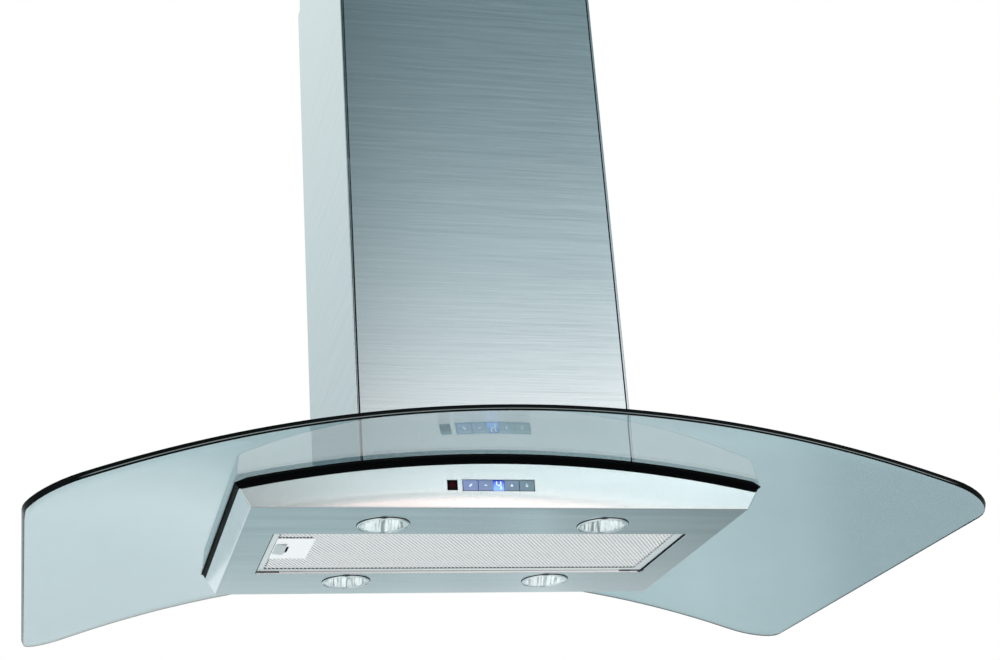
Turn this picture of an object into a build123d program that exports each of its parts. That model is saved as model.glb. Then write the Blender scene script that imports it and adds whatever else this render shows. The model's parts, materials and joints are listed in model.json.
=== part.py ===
from build123d import *
import os
from math import asin, degrees, sqrt

# A curved glass range hood of the island kind, hung from a ceiling.
# A flat stainless body carries an arched glass canopy. A square cover
# rises from the glass to the ceiling in two telescoping lengths.
# Millimetres. X runs to the right, -Y is the front and +Z is up.
# The origin is the middle of the ceiling plate's upper face, so the
# ceiling is the plane Z = 0 and the whole hood hangs below it.

os.makedirs("parts", exist_ok=True)

# ---------------------------------------------------------------- sizes
DROP = 800.0              # ceiling to the body's underside, covers closed up
TRAVEL = 300.0            # how far the hood can be hung lower
BASE = -DROP              # height of the body's underside

GLASS_W = 900.0
GLASS_D = 600.0
GLASS_T = 6.0
GLASS_R = 1228.0          # radius of the glass's upper face
GLASS_CORNER = 48.0       # corner radius in plan
GLASS_CROWN = 58.0        # crown of the glass above the underside
CUTOUT_GAP = 6.0          # glass cut-out round the blower casing
CUTOUT_CORNER = 8.0

BODY_W = 492.0            # underside of the body
BODY_D = 333.0
BODY_FLARE = 11.5         # how far each side leans out towards the top
BODY_SHEET = 1.2
BODY_FLANGE = 14.0        # flange under the gasket
GASKET_T = 6.0
GASKET_SETBACK = 0.4
OVER = 1.0                # how far a cut reaches past the face it opens

COVER_W = 280.0           # lower cover, outside
COVER_D = 290.0
COVER_SHEET = 1.0
COVER_TOP = 728.0         # top of the lower cover above the underside
COVER_LOW = 40.0          # its blank's lower edge, before the arch is cut
COVER_GAP = 1.0           # between the lower and the upper cover
COVER_RETURN = 2.5        # folded front edge of a cover's side
COVER_SLIT = 1.5          # dark slit on each side of a front panel
ARCH_CLEAR = 0.3          # under the lower cover and its posts, over the glass
COVER_OVERLAP = 48.0      # left between the covers when the hood hangs low

POST_LEG = 20.0           # angle posts between ceiling plate and hood
POST_T = 1.5
POST_INSET = 4.0          # from the upper cover's inner face
POST_GAP = 0.5            # between the sliding posts
POST_END = 32.0           # post past its slot
LOW_POST_LEG = 17.0
LOWER_POST_END = -40.0
SLOT_W = 5.6
SLOT_END = 8.0            # slot past the bolt at each end of the travel
BOLT_R = 2.5
BOLT_FIT = 0.2
BOLT_SHIFT = 2.0          # from the middle of the post's leg
BOLT_DROP = 20.0          # below the top of the lower posts
BOLT_HEAD_R = 4.5
BOLT_HEAD_H = 2.6
BOLT_NUT_R = 4.4
BOLT_NUT_H = 4.0
BOLT_END = 2.0            # bolt past its nut

PLATE_T = 3.0             # ceiling plate
RIM_H = 25.0              # its rim, down from the ceiling
RIM_T = 1.5
SCREW_R = 1.75
SCREW_FIT = 0.05
SCREW_HEAD_R = 3.5
SCREW_HEAD_H = 1.8
SCREW_REACH = 6.0         # cover screw past the plate's rim
COVER_SCREW_Y = 60.0
COVER_SCREW_FIT = 0.3
PLATE_HOLE_R = 5.0
PLATE_PITCH = 200.0
DUCT_HOLE_R = 80.0

FILTER_MARGIN_X = 32.0    # from the body's ends to the filter opening
FILTER_MARGIN_Y = 33.0    # from the middles of the lamps to the opening
FILTER_GAP = 1.5
FILTER_T = 9.0
FILTER_RISE = 2.5         # filter's lower face above the underside
FRAME_LEFT = 6.0
FRAME_RIGHT = 9.0
FRAME_LONG = 7.0
MESH_GAP = 0.2
LAYER_T = 0.6             # one layer of the filter's metal mesh
LAYER_RISES = (0.8, 4.3, 7.8)
LIP_H = 2.5               # hem of the opening, above the sheet
LIP_SETBACK = 26.0        # hem of the long sides, from the opening's ends

HANDLE_SETBACK = 8.0      # from the left end of the opening
HANDLE_W = 38.0
HANDLE_Y0 = -50.5
HANDLE_Y1 = 25.0
HANDLE_T = 0.8
LATCH_TRAVEL = 4.5
LATCH_Y = (HANDLE_Y0 + HANDLE_Y1) / 2
LATCH_FIT = 0.2           # between the tongue and its slot in the frame
TONGUE_Y = 12.0           # half width of the latch's tongue
TONGUE_T = 1.8
CATCH_END = 2.0           # hem past the tongue on each side
TAB_SETBACK = 6.0         # pull tab of the latch
TAB_W = 16.0
TAB_HALF = 21.0
TAB_Z0 = 0.9
TAB_Z1 = 2.3
NECK_SETBACK = 9.0        # joins tab and tongue through the handle plate
NECK_W = 6.0
NECK_LAP = 0.2
NECK_SIDE = 2.0           # narrower than the tongue on each side
HINGE_SETBACK = 6.0       # from the right end of the opening
HINGE_EAR = 7.0           # half width of a hinge bracket
HINGE_EAR_T = 2.4
HINGE_GAP = 0.1           # also between the hem and the tongue over it
PIN_SETBACK = 0.9
NOTCH_GAP = 1.0           # round the latch in the mesh and the handle plate
NOTCH_TOP = 0.6
NECK_GAP = 0.5

PIN_R = 2.0
RUN_FIT = 0.1             # radial running clearance

LAMP_X = 111.5
LAMP_SETBACK = 56.5       # from the body's front and rear
LAMP_R = 25.7             # bezel
LAMP_HOLE_R = 22.8
BEZEL_T = 1.6
BEZEL_CHAMFER = 0.8
SLEEVE_R = 22.3
SLEEVE_H = 6.0
LENS_R = 20.6             # bore of the bezel
LENS_FIT = 0.1
LENS_Z0 = -0.9
LENS_Z1 = 2.5
LENS_FACE_T = 1.9
LENS_RIM = 3.0
HOUSING_R = 24.0
HOUSING_FLANGE_R = 27.0
HOUSING_TOP = 20.0
HOUSING_T = 1.2
SOCKET_R = 7.0            # lower and upper part of a bulb
SOCKET_H = 5.0
CAPSULE_R = 4.5
CAPSULE_H = 6.8

PANEL_Z = 22.9            # middle of the controls above the underside
BUTTON_PITCH = 15.0
BUTTON_H = 10.2
BUTTON_SLIT = 0.35        # between neighbouring keys
BUTTON_TRAVEL = 0.6
BUTTON_CHAMFER = 0.2
BUTTON_STOP = 1.5         # flange behind the panel, above and below
BUTTON_STOP_GAP = 0.3
BUTTON_STOP_T = 1.5
STEM_R = 1.5
STEM_FIT = 0.2
STEM_END = 0.5            # carrier past the stem's end
PANEL_FIT = 0.3
WINDOW_FIT = 0.1
WINDOW_PROUD = 0.2
DISPLAY_W = 10.8
PANEL_X0 = -43.7          # left end of the row of keys
KEY_ORDER = ("button_light", "button_slower", "button_faster", "button_power")
KEYS_LEFT_OF_DISPLAY = 2
IR_X = -54.0              # middle of the remote control window
IR_SIZE = 10.1
CARRIER_X0 = -66.0
CARRIER_X1 = 36.0
CARRIER_Z0 = 12.0
CARRIER_Z1 = 34.0
CARRIER_T = 2.0
CARRIER_WALL = 1.5
CARRIER_ROOM = 1.0        # behind the keys' flanges
BOARD_GAP = 2.5
BOARD_T = 1.6
BOARD_INSET = 2.0
BOARD_EDGE = 1.0
BOARD_POST_R = 2.5
BOARD_POST_INSET = 5.0
SWITCH_HALF = 3.0
SWITCH_GAP = 0.3

PLENUM_MARGIN_X = 8.0     # plenum past the filter opening
PLENUM_MARGIN_Y = 5.0
PLENUM_TOP = 28.0
PLENUM_TAB = 10.0         # flange to the body
PLENUM_TAB_SETBACK = 10.0
PLENUM_TAB_HALF = 75.0
PLENUM_RIM_X = 12.0       # round the hole into the casing
PLENUM_RIM_Y = 7.0
SHEET = 1.0

CASING_INSET = 28.0       # blower casing inside the lower cover
CASING_TOP = 258.0
SERVICE_MARGIN = 12.0     # service opening in the casing's front
SERVICE_Z0 = 80.0
SERVICE_TOP = 20.0
LID_MARGIN = 2.0
LID_Z0 = 70.0
LID_TOP = 8.0
LID_SCREW_INSET = 6.0
LID_SCREW_HEAD_R = 3.2

FAN_Y = -15.0             # fan axis
FAN_Z = 127.0
FAN_R = 75.0
FAN_W = 100.0
BLADE_COUNT = 36
SCROLL_W = 110.0          # inside width of the scroll
SCROLL_T = 2.0
SCROLL_RADII = (82.0, 92.0, 102.0)
INLET_R = 62.0
BLADE_DEPTH = 12.0
BLADE_T = 1.0
BLADE_TILT = 35.0
BLADE_SETBACK = 0.5
RIM_W = 2.0
RIM_LAP = 1.5
HUB_R = 11.0
HUB_LENGTH = 20.0
MOTOR_R = 42.0
MOTOR_X0 = 6.0
MOTOR_X1 = 70.0
MOTOR_CHAMFER = 2.0
MOTOR_RING = 8.0          # bracket ring round the motor
MOTOR_ARM_W = 14.0
MOTOR_ARM_LAP = 14.0      # arm past the fan inlet
MOTOR_BRACKET_T = 3.0
SHAFT_R = 4.0
SHAFT_FIT = 0.05
SHAFT_END = 5.0
SHAFT_BACK = 0.5
BEARING_R = 8.0
BEARING_W = 8.0

DUCT_R = 75.0             # spigot, outside
DUCT_T = 1.5
SPIGOT_Z0 = 298.0
SPIGOT_Z1 = 343.0
FLAP_Z = 318.0
FLAP_Y = 5.0
FLAP_T = 1.2
FLAP_GAP = 1.0
FLAP_PIN_SETBACK = 0.4
COLLAR_FLANGE = 10.0
BAR_DROP = 5.4            # bar that the shut flaps rest over
BAR_W = 14.0
BAR_H = 3.0

RING_Z = 64.0             # underside of the base frame
RING_T = 2.0
RING_GAP_X = 1.5          # round the casing
RING_GAP_Y = 2.5
STUD_INSET = 9.0          # from the outside of the lower posts
STUD_SETBACK = 41.0
STUD_R = 3.0
STUD_FIT = 0.3
STUD_BELOW = 6.0          # stud past strap and frame
STUD_ABOVE = 8.0
NUT_R = 5.5
NUT_H = 5.0
STUD_SLEEVE_R = 7.0
STUD_SLEEVE_GAP = 0.6     # over the glass
GROMMET_R = 5.8
GROMMET_T = 10.2
GROMMET_FIT = 0.2
STRAP_Z = 35.0            # straps across the body under the glass
STRAP_T = 2.0
STRAP_LEG = 14.0
STRAP_GAP = 1.0           # from the casing

CLIP_T = 1.5              # brackets that hold the lower cover
CLIP_FOOT = 14.0
CLIP_H = 20.0
CLIP_SIDE = 15.0          # half widths at the sides, and at front and rear
CLIP_END = 20.0

ELECTRIC_Z0 = 190.0       # capacitor and terminal box on the casing
ELECTRIC_Z1 = 236.0
CAPACITOR_R = 11.0
CAPACITOR_Y = -40.0
CAPACITOR_GAP = 0.5
CAPACITOR_ROUND = 1.0
CAPACITOR_PAD = 6.0       # half width of its foot
CAPACITOR_PAD_Z = 15.0
CAPACITOR_PAD_H = 16.0
TERMINAL_PITCH = 8.0
TERMINAL_W = 6.0
TERMINAL_T = 1.0
TERMINAL_H = 7.0
BOX_T = 2.0
BOX_DEPTH = 18.0
BOX_HALF = 35.0
GLAND_Y = 15.0
GLAND_HOLE_R = 5.0
GLAND_R = 4.9
GLAND_BORE_R = 3.2
GLAND_NUT_R = 8.0
GLAND_NUT_H = 5.0
GLAND_CAP_R = 6.5
GLAND_CAP_H = 9.0
GLAND_END = 4.0
TRANSFORMER_W = 76.0
TRANSFORMER_D = 44.0
TRANSFORMER_INSET_X = 22.0
TRANSFORMER_INSET_Y = 24.5
TRANSFORMER_TOP = 21.0
TRANSFORMER_ROUND = 3.0

# ------------------------------------------------------- derived values
ARCH_Z = BASE + GLASS_CROWN - GLASS_R
GLASS_UNDER_R = GLASS_R - GLASS_T
BODY_ARCH_R = GLASS_UNDER_R - GASKET_T
HALF_W = BODY_W / 2
HALF_D = BODY_D / 2
CORNER_X = HALF_W + BODY_FLARE
CORNER_H = ARCH_Z - BASE + sqrt(BODY_ARCH_R ** 2 - CORNER_X ** 2)
LEAN = BODY_FLARE / CORNER_H
INNER_Y = HALF_D - BODY_SHEET
COVER_IN_X = COVER_W / 2 - COVER_SHEET
COVER_IN_Y = COVER_D / 2 - COVER_SHEET
UPPER_X = COVER_IN_X - COVER_GAP
UPPER_Y = COVER_IN_Y - COVER_GAP
POST_X = UPPER_X - COVER_SHEET - POST_INSET
POST_Y = UPPER_Y - COVER_SHEET - POST_INSET
BOLT_Y = POST_Y - POST_LEG / 2 - BOLT_SHIFT
BOLT_Z = LOWER_POST_END - BOLT_DROP
UPPER_POST_END = BOLT_Z - TRAVEL - SLOT_END - POST_END
UPPER_LENGTH = DROP - COVER_TOP + TRAVEL + COVER_OVERLAP
LOW_POST_X = POST_X - POST_T - POST_GAP
LOW_POST_Y = POST_Y - POST_T - POST_GAP
LAMP_Y = HALF_D - LAMP_SETBACK
FILTER_OPEN_X = BODY_W - 2 * FILTER_MARGIN_X
FILTER_OPEN_Y = 2 * (LAMP_Y - FILTER_MARGIN_Y)
OPEN_LEFT = -FILTER_OPEN_X / 2
LIP_X = FILTER_OPEN_X / 2 - LIP_SETBACK
HANDLE_X0 = OPEN_LEFT + HANDLE_SETBACK
HANDLE_X1 = HANDLE_X0 + HANDLE_W
TAB_X0 = OPEN_LEFT + TAB_SETBACK
TAB_X1 = TAB_X0 + TAB_W
NECK_X0 = OPEN_LEFT + NECK_SETBACK
NECK_X1 = NECK_X0 + NECK_W
HINGE_X = FILTER_OPEN_X / 2 - HINGE_SETBACK
TRANSFORMER_X1 = HALF_W - TRANSFORMER_INSET_X
TRANSFORMER_X0 = TRANSFORMER_X1 - TRANSFORMER_W
TRANSFORMER_Y1 = HALF_D - TRANSFORMER_INSET_Y
TRANSFORMER_Y0 = TRANSFORMER_Y1 - TRANSFORMER_D
CASING_W = COVER_W - 2 * CASING_INSET
CASING_D = COVER_D - 2 * CASING_INSET
PLENUM_W = FILTER_OPEN_X + 2 * PLENUM_MARGIN_X
PLENUM_D = FILTER_OPEN_Y + 2 * PLENUM_MARGIN_Y
STUD_X = LOW_POST_X - STUD_INSET
STUD_Y = LOW_POST_Y - STUD_SETBACK
LAMP_SPOTS = {
    "front_left": (-LAMP_X, -LAMP_Y),
    "front_right": (LAMP_X, -LAMP_Y),
    "rear_left": (-LAMP_X, LAMP_Y),
    "rear_right": (LAMP_X, LAMP_Y),
}
CORNERS = [(sx, sy) for sx in (-1, 1) for sy in (-1, 1)]
STUD_HOLE_R = STUD_R + STUD_FIT


def up(height):
    """Height above the body's underside, as a Z value."""
    return BASE + height


def block(x0, x1, y0, y1, z0, z1, mode=Mode.ADD):
    """A box between six faces."""
    with Locations(((x0 + x1) / 2, (y0 + y1) / 2, (z0 + z1) / 2)):
        Box(x1 - x0, y1 - y0, z1 - z0, mode=mode)


def disc(x, y, z0, z1, radius, mode=Mode.ADD):
    """An upright cylinder between two heights."""
    with Locations((x, y, (z0 + z1) / 2)):
        Cylinder(radius, z1 - z0, mode=mode)


def rod_x(x0, x1, y, z, radius, mode=Mode.ADD):
    """A cylinder along X."""
    with Locations(((x0 + x1) / 2, y, z)):
        Cylinder(radius, x1 - x0, rotation=(0, 90, 0), mode=mode)


def rod_y(x, y0, y1, z, radius, mode=Mode.ADD):
    """A cylinder along Y."""
    with Locations((x, (y0 + y1) / 2, z)):
        Cylinder(radius, y1 - y0, rotation=(90, 0, 0), mode=mode)


def body_profile(inset, arch_r):
    """Front outline of the body: flat below, leaning sides, arched top."""
    side = inset * sqrt(1 + LEAN ** 2)
    low_x = HALF_W + LEAN * inset - side
    top_x = HALF_W + LEAN * GLASS_CROWN - side
    with BuildSketch(Plane.XZ, mode=Mode.PRIVATE) as profile:
        with BuildLine():
            Polyline(
                (-low_x, up(inset)),
                (low_x, up(inset)),
                (top_x, up(GLASS_CROWN)),
                (-top_x, up(GLASS_CROWN)),
                close=True,
            )
        make_face()
        with Locations((0, ARCH_Z)):
            Circle(arch_r, mode=Mode.INTERSECT)
    return profile.sketch


def arch_disc(radius):
    """The disc under an arch of the given radius, seen from the front."""
    with BuildSketch(Plane.XZ, mode=Mode.PRIVATE) as profile:
        with Locations((0, ARCH_Z)):
            Circle(radius)
    return profile.sketch


# --------------------------------------------------------- ceiling group
# A plate as wide as the inside of the upper cover, with a folded rim
# on its four sides that the cover is screwed to.
PLATE_X = UPPER_X - COVER_SHEET
PLATE_Y = UPPER_Y - COVER_SHEET
with BuildPart() as ceiling_plate:
    with BuildSketch(Plane.XY.offset(-RIM_H)):
        Rectangle(2 * PLATE_X, 2 * PLATE_Y)
        Rectangle(2 * (PLATE_X - RIM_T), 2 * (PLATE_Y - RIM_T), mode=Mode.SUBTRACT)
    extrude(amount=RIM_H)
    block(-PLATE_X, PLATE_X, -PLATE_Y, PLATE_Y, -PLATE_T, 0)
    disc(0, 0, -PLATE_T, 0, DUCT_HOLE_R, mode=Mode.SUBTRACT)
    with GridLocations(PLATE_PITCH, PLATE_PITCH, 2, 2):
        Cylinder(PLATE_HOLE_R, 3 * PLATE_T, mode=Mode.SUBTRACT)
    for side_y in (-COVER_SCREW_Y, COVER_SCREW_Y):
        screw_hole_r = SCREW_R + SCREW_FIT
        rod_x(-PLATE_X - OVER, PLATE_X + OVER, side_y, -RIM_H / 2, screw_hole_r, mode=Mode.SUBTRACT)
ceiling_plate.part.label = "ceiling_plate"
export_step(ceiling_plate.part, "parts/ceiling_plate.step")


def post_profiles(outer_x, outer_y, leg, z0):
    """The L sections of four posts, one in each corner."""
    with BuildSketch(Plane.XY.offset(z0), mode=Mode.PRIVATE) as profile:
        Rectangle(2 * outer_x, 2 * outer_y)
        Rectangle(2 * (outer_x - POST_T), 2 * (outer_y - POST_T), mode=Mode.SUBTRACT)
        Rectangle(2 * (outer_x - leg), 4 * outer_y, mode=Mode.SUBTRACT)
        Rectangle(4 * outer_x, 2 * (outer_y - leg), mode=Mode.SUBTRACT)
    return profile.sketch


with BuildPart() as upper_posts:
    profile = post_profiles(POST_X, POST_Y, POST_LEG, UPPER_POST_END)
    extrude(profile, amount=-PLATE_T - UPPER_POST_END)
    for sx, sy in CORNERS:
        leg_ends = sorted((sx * (POST_X - POST_T - OVER), sx * (POST_X + OVER)))
        block(
            leg_ends[0],
            leg_ends[1],
            sy * BOLT_Y - SLOT_W / 2,
            sy * BOLT_Y + SLOT_W / 2,
            BOLT_Z - TRAVEL - SLOT_END,
            BOLT_Z + SLOT_END,
            mode=Mode.SUBTRACT,
        )
upper_posts.part.label = "upper_posts"
export_step(upper_posts.part, "parts/upper_posts.step")


def cover_profile(half_x, half_y, z0):
    """Rear and sides of a cover, each side with a narrow front return."""
    with BuildSketch(Plane.XY.offset(z0), mode=Mode.PRIVATE) as profile:
        Rectangle(2 * half_x, 2 * half_y)
        Rectangle(2 * (half_x - COVER_SHEET), 2 * (half_y - COVER_SHEET), mode=Mode.SUBTRACT)
        with Locations((0, -half_y)):
            Rectangle(2 * (half_x - COVER_RETURN), 4 * COVER_SHEET, mode=Mode.SUBTRACT)
    return profile.sketch


def cover_front(half_x, half_y, z0, z1):
    """Front panel of a cover, between the returns of its sides."""
    edge = half_x - COVER_RETURN - COVER_SLIT
    block(-edge, edge, -half_y, -half_y + COVER_SHEET, z0, z1)


with BuildPart() as upper_chimney_shell:
    extrude(cover_profile(UPPER_X, UPPER_Y, -UPPER_LENGTH), amount=UPPER_LENGTH)
    for side_y in (-COVER_SCREW_Y, COVER_SCREW_Y):
        cover_hole_r = SCREW_R + COVER_SCREW_FIT
        rod_x(-COVER_W, COVER_W, side_y, -RIM_H / 2, cover_hole_r, mode=Mode.SUBTRACT)
upper_chimney_shell.part.label = "upper_chimney_shell"
export_step(upper_chimney_shell.part, "parts/upper_chimney_shell.step")

with BuildPart() as upper_chimney_front:
    cover_front(UPPER_X, UPPER_Y, -UPPER_LENGTH, 0)
upper_chimney_front.part.label = "upper_chimney_front"
export_step(upper_chimney_front.part, "parts/upper_chimney_front.step")

with BuildPart() as upper_cover_screws:
    for side_y in (-COVER_SCREW_Y, COVER_SCREW_Y):
        for side in (-1, 1):
            head = sorted((side * UPPER_X, side * (UPPER_X + SCREW_HEAD_H)))
            shank = sorted((side * (PLATE_X - SCREW_REACH), side * UPPER_X))
            rod_x(head[0], head[1], side_y, -RIM_H / 2, SCREW_HEAD_R)
            rod_x(shank[0], shank[1], side_y, -RIM_H / 2, SCREW_R)
upper_cover_screws.part.label = "upper_cover_screws"
export_step(upper_cover_screws.part, "parts/upper_cover_screws.step")

# --------------------------------------------------------------- the body
with BuildPart() as body_shell:
    extrude(body_profile(0, BODY_ARCH_R), amount=HALF_D, both=True)
    inside = body_profile(BODY_SHEET, BODY_ARCH_R - BODY_SHEET)
    extrude(inside, amount=INNER_Y, both=True, mode=Mode.SUBTRACT)
    window_x = CORNER_X - BODY_FLANGE
    window_y = HALF_D - BODY_FLANGE
    block(
        -window_x, window_x, -window_y, window_y,
        up(CORNER_H / 2), up(GLASS_CROWN), mode=Mode.SUBTRACT,
    )
    open_x = FILTER_OPEN_X / 2
    open_y = FILTER_OPEN_Y / 2
    hem_x = open_x + BODY_SHEET
    hem_y = open_y + BODY_SHEET
    hem_z = BODY_SHEET + LIP_H
    catch = TONGUE_Y + CATCH_END
    block(-LIP_X, LIP_X, -hem_y, hem_y, up(0), up(hem_z))
    block(-hem_x, 0, LATCH_Y - catch, LATCH_Y + catch, up(0), up(hem_z))
    block(-open_x, open_x, -open_y, open_y, up(-OVER), up(hem_z + OVER), mode=Mode.SUBTRACT)
    for lamp_x, lamp_y in LAMP_SPOTS.values():
        disc(lamp_x, lamp_y, up(-OVER), up(BODY_SHEET + OVER), LAMP_HOLE_R, mode=Mode.SUBTRACT)
    panel_x1 = PANEL_X0 + len(KEY_ORDER) * BUTTON_PITCH + DISPLAY_W
    slot_z = BUTTON_H / 2 + PANEL_FIT
    block(
        PANEL_X0 - PANEL_FIT, panel_x1 + PANEL_FIT, -HALF_D - OVER, -INNER_Y + OVER,
        up(PANEL_Z - slot_z), up(PANEL_Z + slot_z), mode=Mode.SUBTRACT,
    )
    ir_half = IR_SIZE / 2 + WINDOW_FIT
    block(
        IR_X - ir_half, IR_X + ir_half, -HALF_D - OVER, -INNER_Y + OVER,
        up(PANEL_Z - ir_half), up(PANEL_Z + ir_half), mode=Mode.SUBTRACT,
    )
body_shell.part.label = "body_shell"
export_step(body_shell.part, "parts/body_shell.step")

with BuildPart() as body_straps:
    for side in (-1, 1):
        x0, x1 = sorted((side * (CASING_W / 2 + STRAP_GAP), side * LOW_POST_X))
        block(x0, x1, -INNER_Y, INNER_Y, up(STRAP_Z), up(STRAP_Z + STRAP_T))
        for side_y in (-1, 1):
            y0 = min(side_y * INNER_Y, side_y * (INNER_Y - STRAP_T))
            block(x0, x1, y0, y0 + STRAP_T, up(STRAP_Z - STRAP_LEG), up(STRAP_Z))
            disc(
                side * STUD_X, side_y * STUD_Y, up(STRAP_Z - OVER), up(STRAP_Z + STRAP_T + OVER),
                STUD_HOLE_R, mode=Mode.SUBTRACT,
            )
body_straps.part.label = "body_straps"
export_step(body_straps.part, "parts/body_straps.step")

with BuildPart() as glass_gasket:
    outline = body_profile(GASKET_SETBACK, GLASS_UNDER_R)
    extrude(outline, amount=HALF_D - GASKET_SETBACK, both=True)
    extrude(arch_disc(BODY_ARCH_R), amount=GLASS_D, both=True, mode=Mode.SUBTRACT)
    block(-window_x, window_x, -window_y, window_y, up(0), up(GLASS_CROWN), mode=Mode.SUBTRACT)
glass_gasket.part.label = "glass_gasket"
export_step(glass_gasket.part, "parts/glass_gasket.step")

with BuildPart() as glass_canopy:
    with BuildSketch(Plane.XZ):
        with Locations((0, ARCH_Z)):
            Circle(GLASS_R)
            Circle(GLASS_UNDER_R, mode=Mode.SUBTRACT)
    extrude(amount=GLASS_D / 2, both=True)
    with BuildSketch(Plane.XY.offset(ARCH_Z)):
        RectangleRounded(GLASS_W, GLASS_D, GLASS_CORNER)
    extrude(amount=GLASS_R + OVER, mode=Mode.INTERSECT)
    with BuildSketch(Plane.XY.offset(ARCH_Z)):
        RectangleRounded(CASING_W + 2 * CUTOUT_GAP, CASING_D + 2 * CUTOUT_GAP, CUTOUT_CORNER)
        with GridLocations(2 * STUD_X, 2 * STUD_Y, 2, 2):
            Circle(GROMMET_R + GROMMET_FIT)
    extrude(amount=GLASS_R + OVER, mode=Mode.SUBTRACT)
glass_canopy.part.label = "glass_canopy"
export_step(glass_canopy.part, "parts/glass_canopy.step")

# ------------------------------------------------- what carries the hood
with BuildPart() as base_frame:
    with BuildSketch(Plane.XY.offset(up(RING_Z))):
        Rectangle(2 * LOW_POST_X, 2 * LOW_POST_Y)
        Rectangle(CASING_W + 2 * RING_GAP_X, CASING_D + 2 * RING_GAP_Y, mode=Mode.SUBTRACT)
        with GridLocations(2 * STUD_X, 2 * STUD_Y, 2, 2):
            Circle(STUD_HOLE_R, mode=Mode.SUBTRACT)
    extrude(amount=RING_T)
base_frame.part.label = "base_frame"
export_step(base_frame.part, "parts/base_frame.step")

# The sleeves stand just over the glass, measured at their inner side.
SLEEVE_IN_X = STUD_X - STUD_SLEEVE_R
SLEEVE_Z = ARCH_Z - BASE + sqrt(GLASS_R ** 2 - SLEEVE_IN_X ** 2) + STUD_SLEEVE_GAP
with BuildPart() as stud_sleeves:
    for sx, sy in CORNERS:
        disc(sx * STUD_X, sy * STUD_Y, up(SLEEVE_Z), up(RING_Z), STUD_SLEEVE_R)
        disc(sx * STUD_X, sy * STUD_Y, up(SLEEVE_Z), up(RING_Z), STUD_HOLE_R, mode=Mode.SUBTRACT)
stud_sleeves.part.label = "stud_sleeves"
export_step(stud_sleeves.part, "parts/stud_sleeves.step")

with BuildPart() as glass_grommets:
    for sx, sy in CORNERS:
        low = up(SLEEVE_Z - GROMMET_T)
        disc(sx * STUD_X, sy * STUD_Y, low, up(SLEEVE_Z), GROMMET_R)
        disc(sx * STUD_X, sy * STUD_Y, low, up(SLEEVE_Z), STUD_HOLE_R, mode=Mode.SUBTRACT)
glass_grommets.part.label = "glass_grommets"
export_step(glass_grommets.part, "parts/glass_grommets.step")

with BuildPart() as frame_studs:
    for sx, sy in CORNERS:
        low = up(STRAP_Z - STUD_BELOW)
        disc(sx * STUD_X, sy * STUD_Y, low, up(RING_Z + RING_T + STUD_ABOVE), STUD_R)
        for nut_z in (up(STRAP_Z) - NUT_H, up(RING_Z + RING_T)):
            with BuildSketch(Plane.XY.offset(nut_z)):
                with Locations((sx * STUD_X, sy * STUD_Y)):
                    RegularPolygon(NUT_R, 6)
            extrude(amount=NUT_H)
frame_studs.part.label = "frame_studs"
export_step(frame_studs.part, "parts/frame_studs.step")

with BuildPart() as lower_posts:
    foot_z = up(RING_Z + RING_T)
    profile = post_profiles(LOW_POST_X, LOW_POST_Y, LOW_POST_LEG, foot_z)
    extrude(profile, amount=LOWER_POST_END - foot_z)
    for sy in (-1, 1):
        rod_x(-POST_X, POST_X, sy * BOLT_Y, BOLT_Z, BOLT_R + BOLT_FIT, mode=Mode.SUBTRACT)
lower_posts.part.label = "lower_posts"
export_step(lower_posts.part, "parts/lower_posts.step")

with BuildPart() as height_bolts:
    for sx, sy in CORNERS:
        head_in = POST_X + BOLT_FIT
        head_out = head_in + BOLT_HEAD_H
        nut_out = LOW_POST_X - POST_T
        nut_in = nut_out - BOLT_NUT_H
        bolt_ends = sorted((sx * (nut_in - BOLT_END), sx * head_in))
        head_ends = sorted((sx * head_in, sx * head_out))
        nut_ends = sorted((sx * nut_in, sx * nut_out))
        rod_x(bolt_ends[0], bolt_ends[1], sy * BOLT_Y, BOLT_Z, BOLT_R)
        rod_x(head_ends[0], head_ends[1], sy * BOLT_Y, BOLT_Z, BOLT_HEAD_R)
        with BuildSketch(Plane.YZ.offset(nut_ends[0])):
            with Locations((sy * BOLT_Y, BOLT_Z)):
                RegularPolygon(BOLT_NUT_R, 6)
        extrude(amount=nut_ends[1] - nut_ends[0])
height_bolts.part.label = "height_bolts"
export_step(height_bolts.part, "parts/height_bolts.step")

with BuildPart() as lower_chimney_shell:
    profile = cover_profile(COVER_W / 2, COVER_D / 2, up(COVER_LOW))
    extrude(profile, amount=COVER_TOP - COVER_LOW)
    extrude(arch_disc(GLASS_R + ARCH_CLEAR), amount=GLASS_D, both=True, mode=Mode.SUBTRACT)
lower_chimney_shell.part.label = "lower_chimney_shell"
export_step(lower_chimney_shell.part, "parts/lower_chimney_shell.step")

with BuildPart() as lower_chimney_front:
    cover_front(COVER_W / 2, COVER_D / 2, up(COVER_LOW), up(COVER_TOP))
    extrude(arch_disc(GLASS_R + ARCH_CLEAR), amount=GLASS_D, both=True, mode=Mode.SUBTRACT)
lower_chimney_front.part.label = "lower_chimney_front"
export_step(lower_chimney_front.part, "parts/lower_chimney_front.step")

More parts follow.
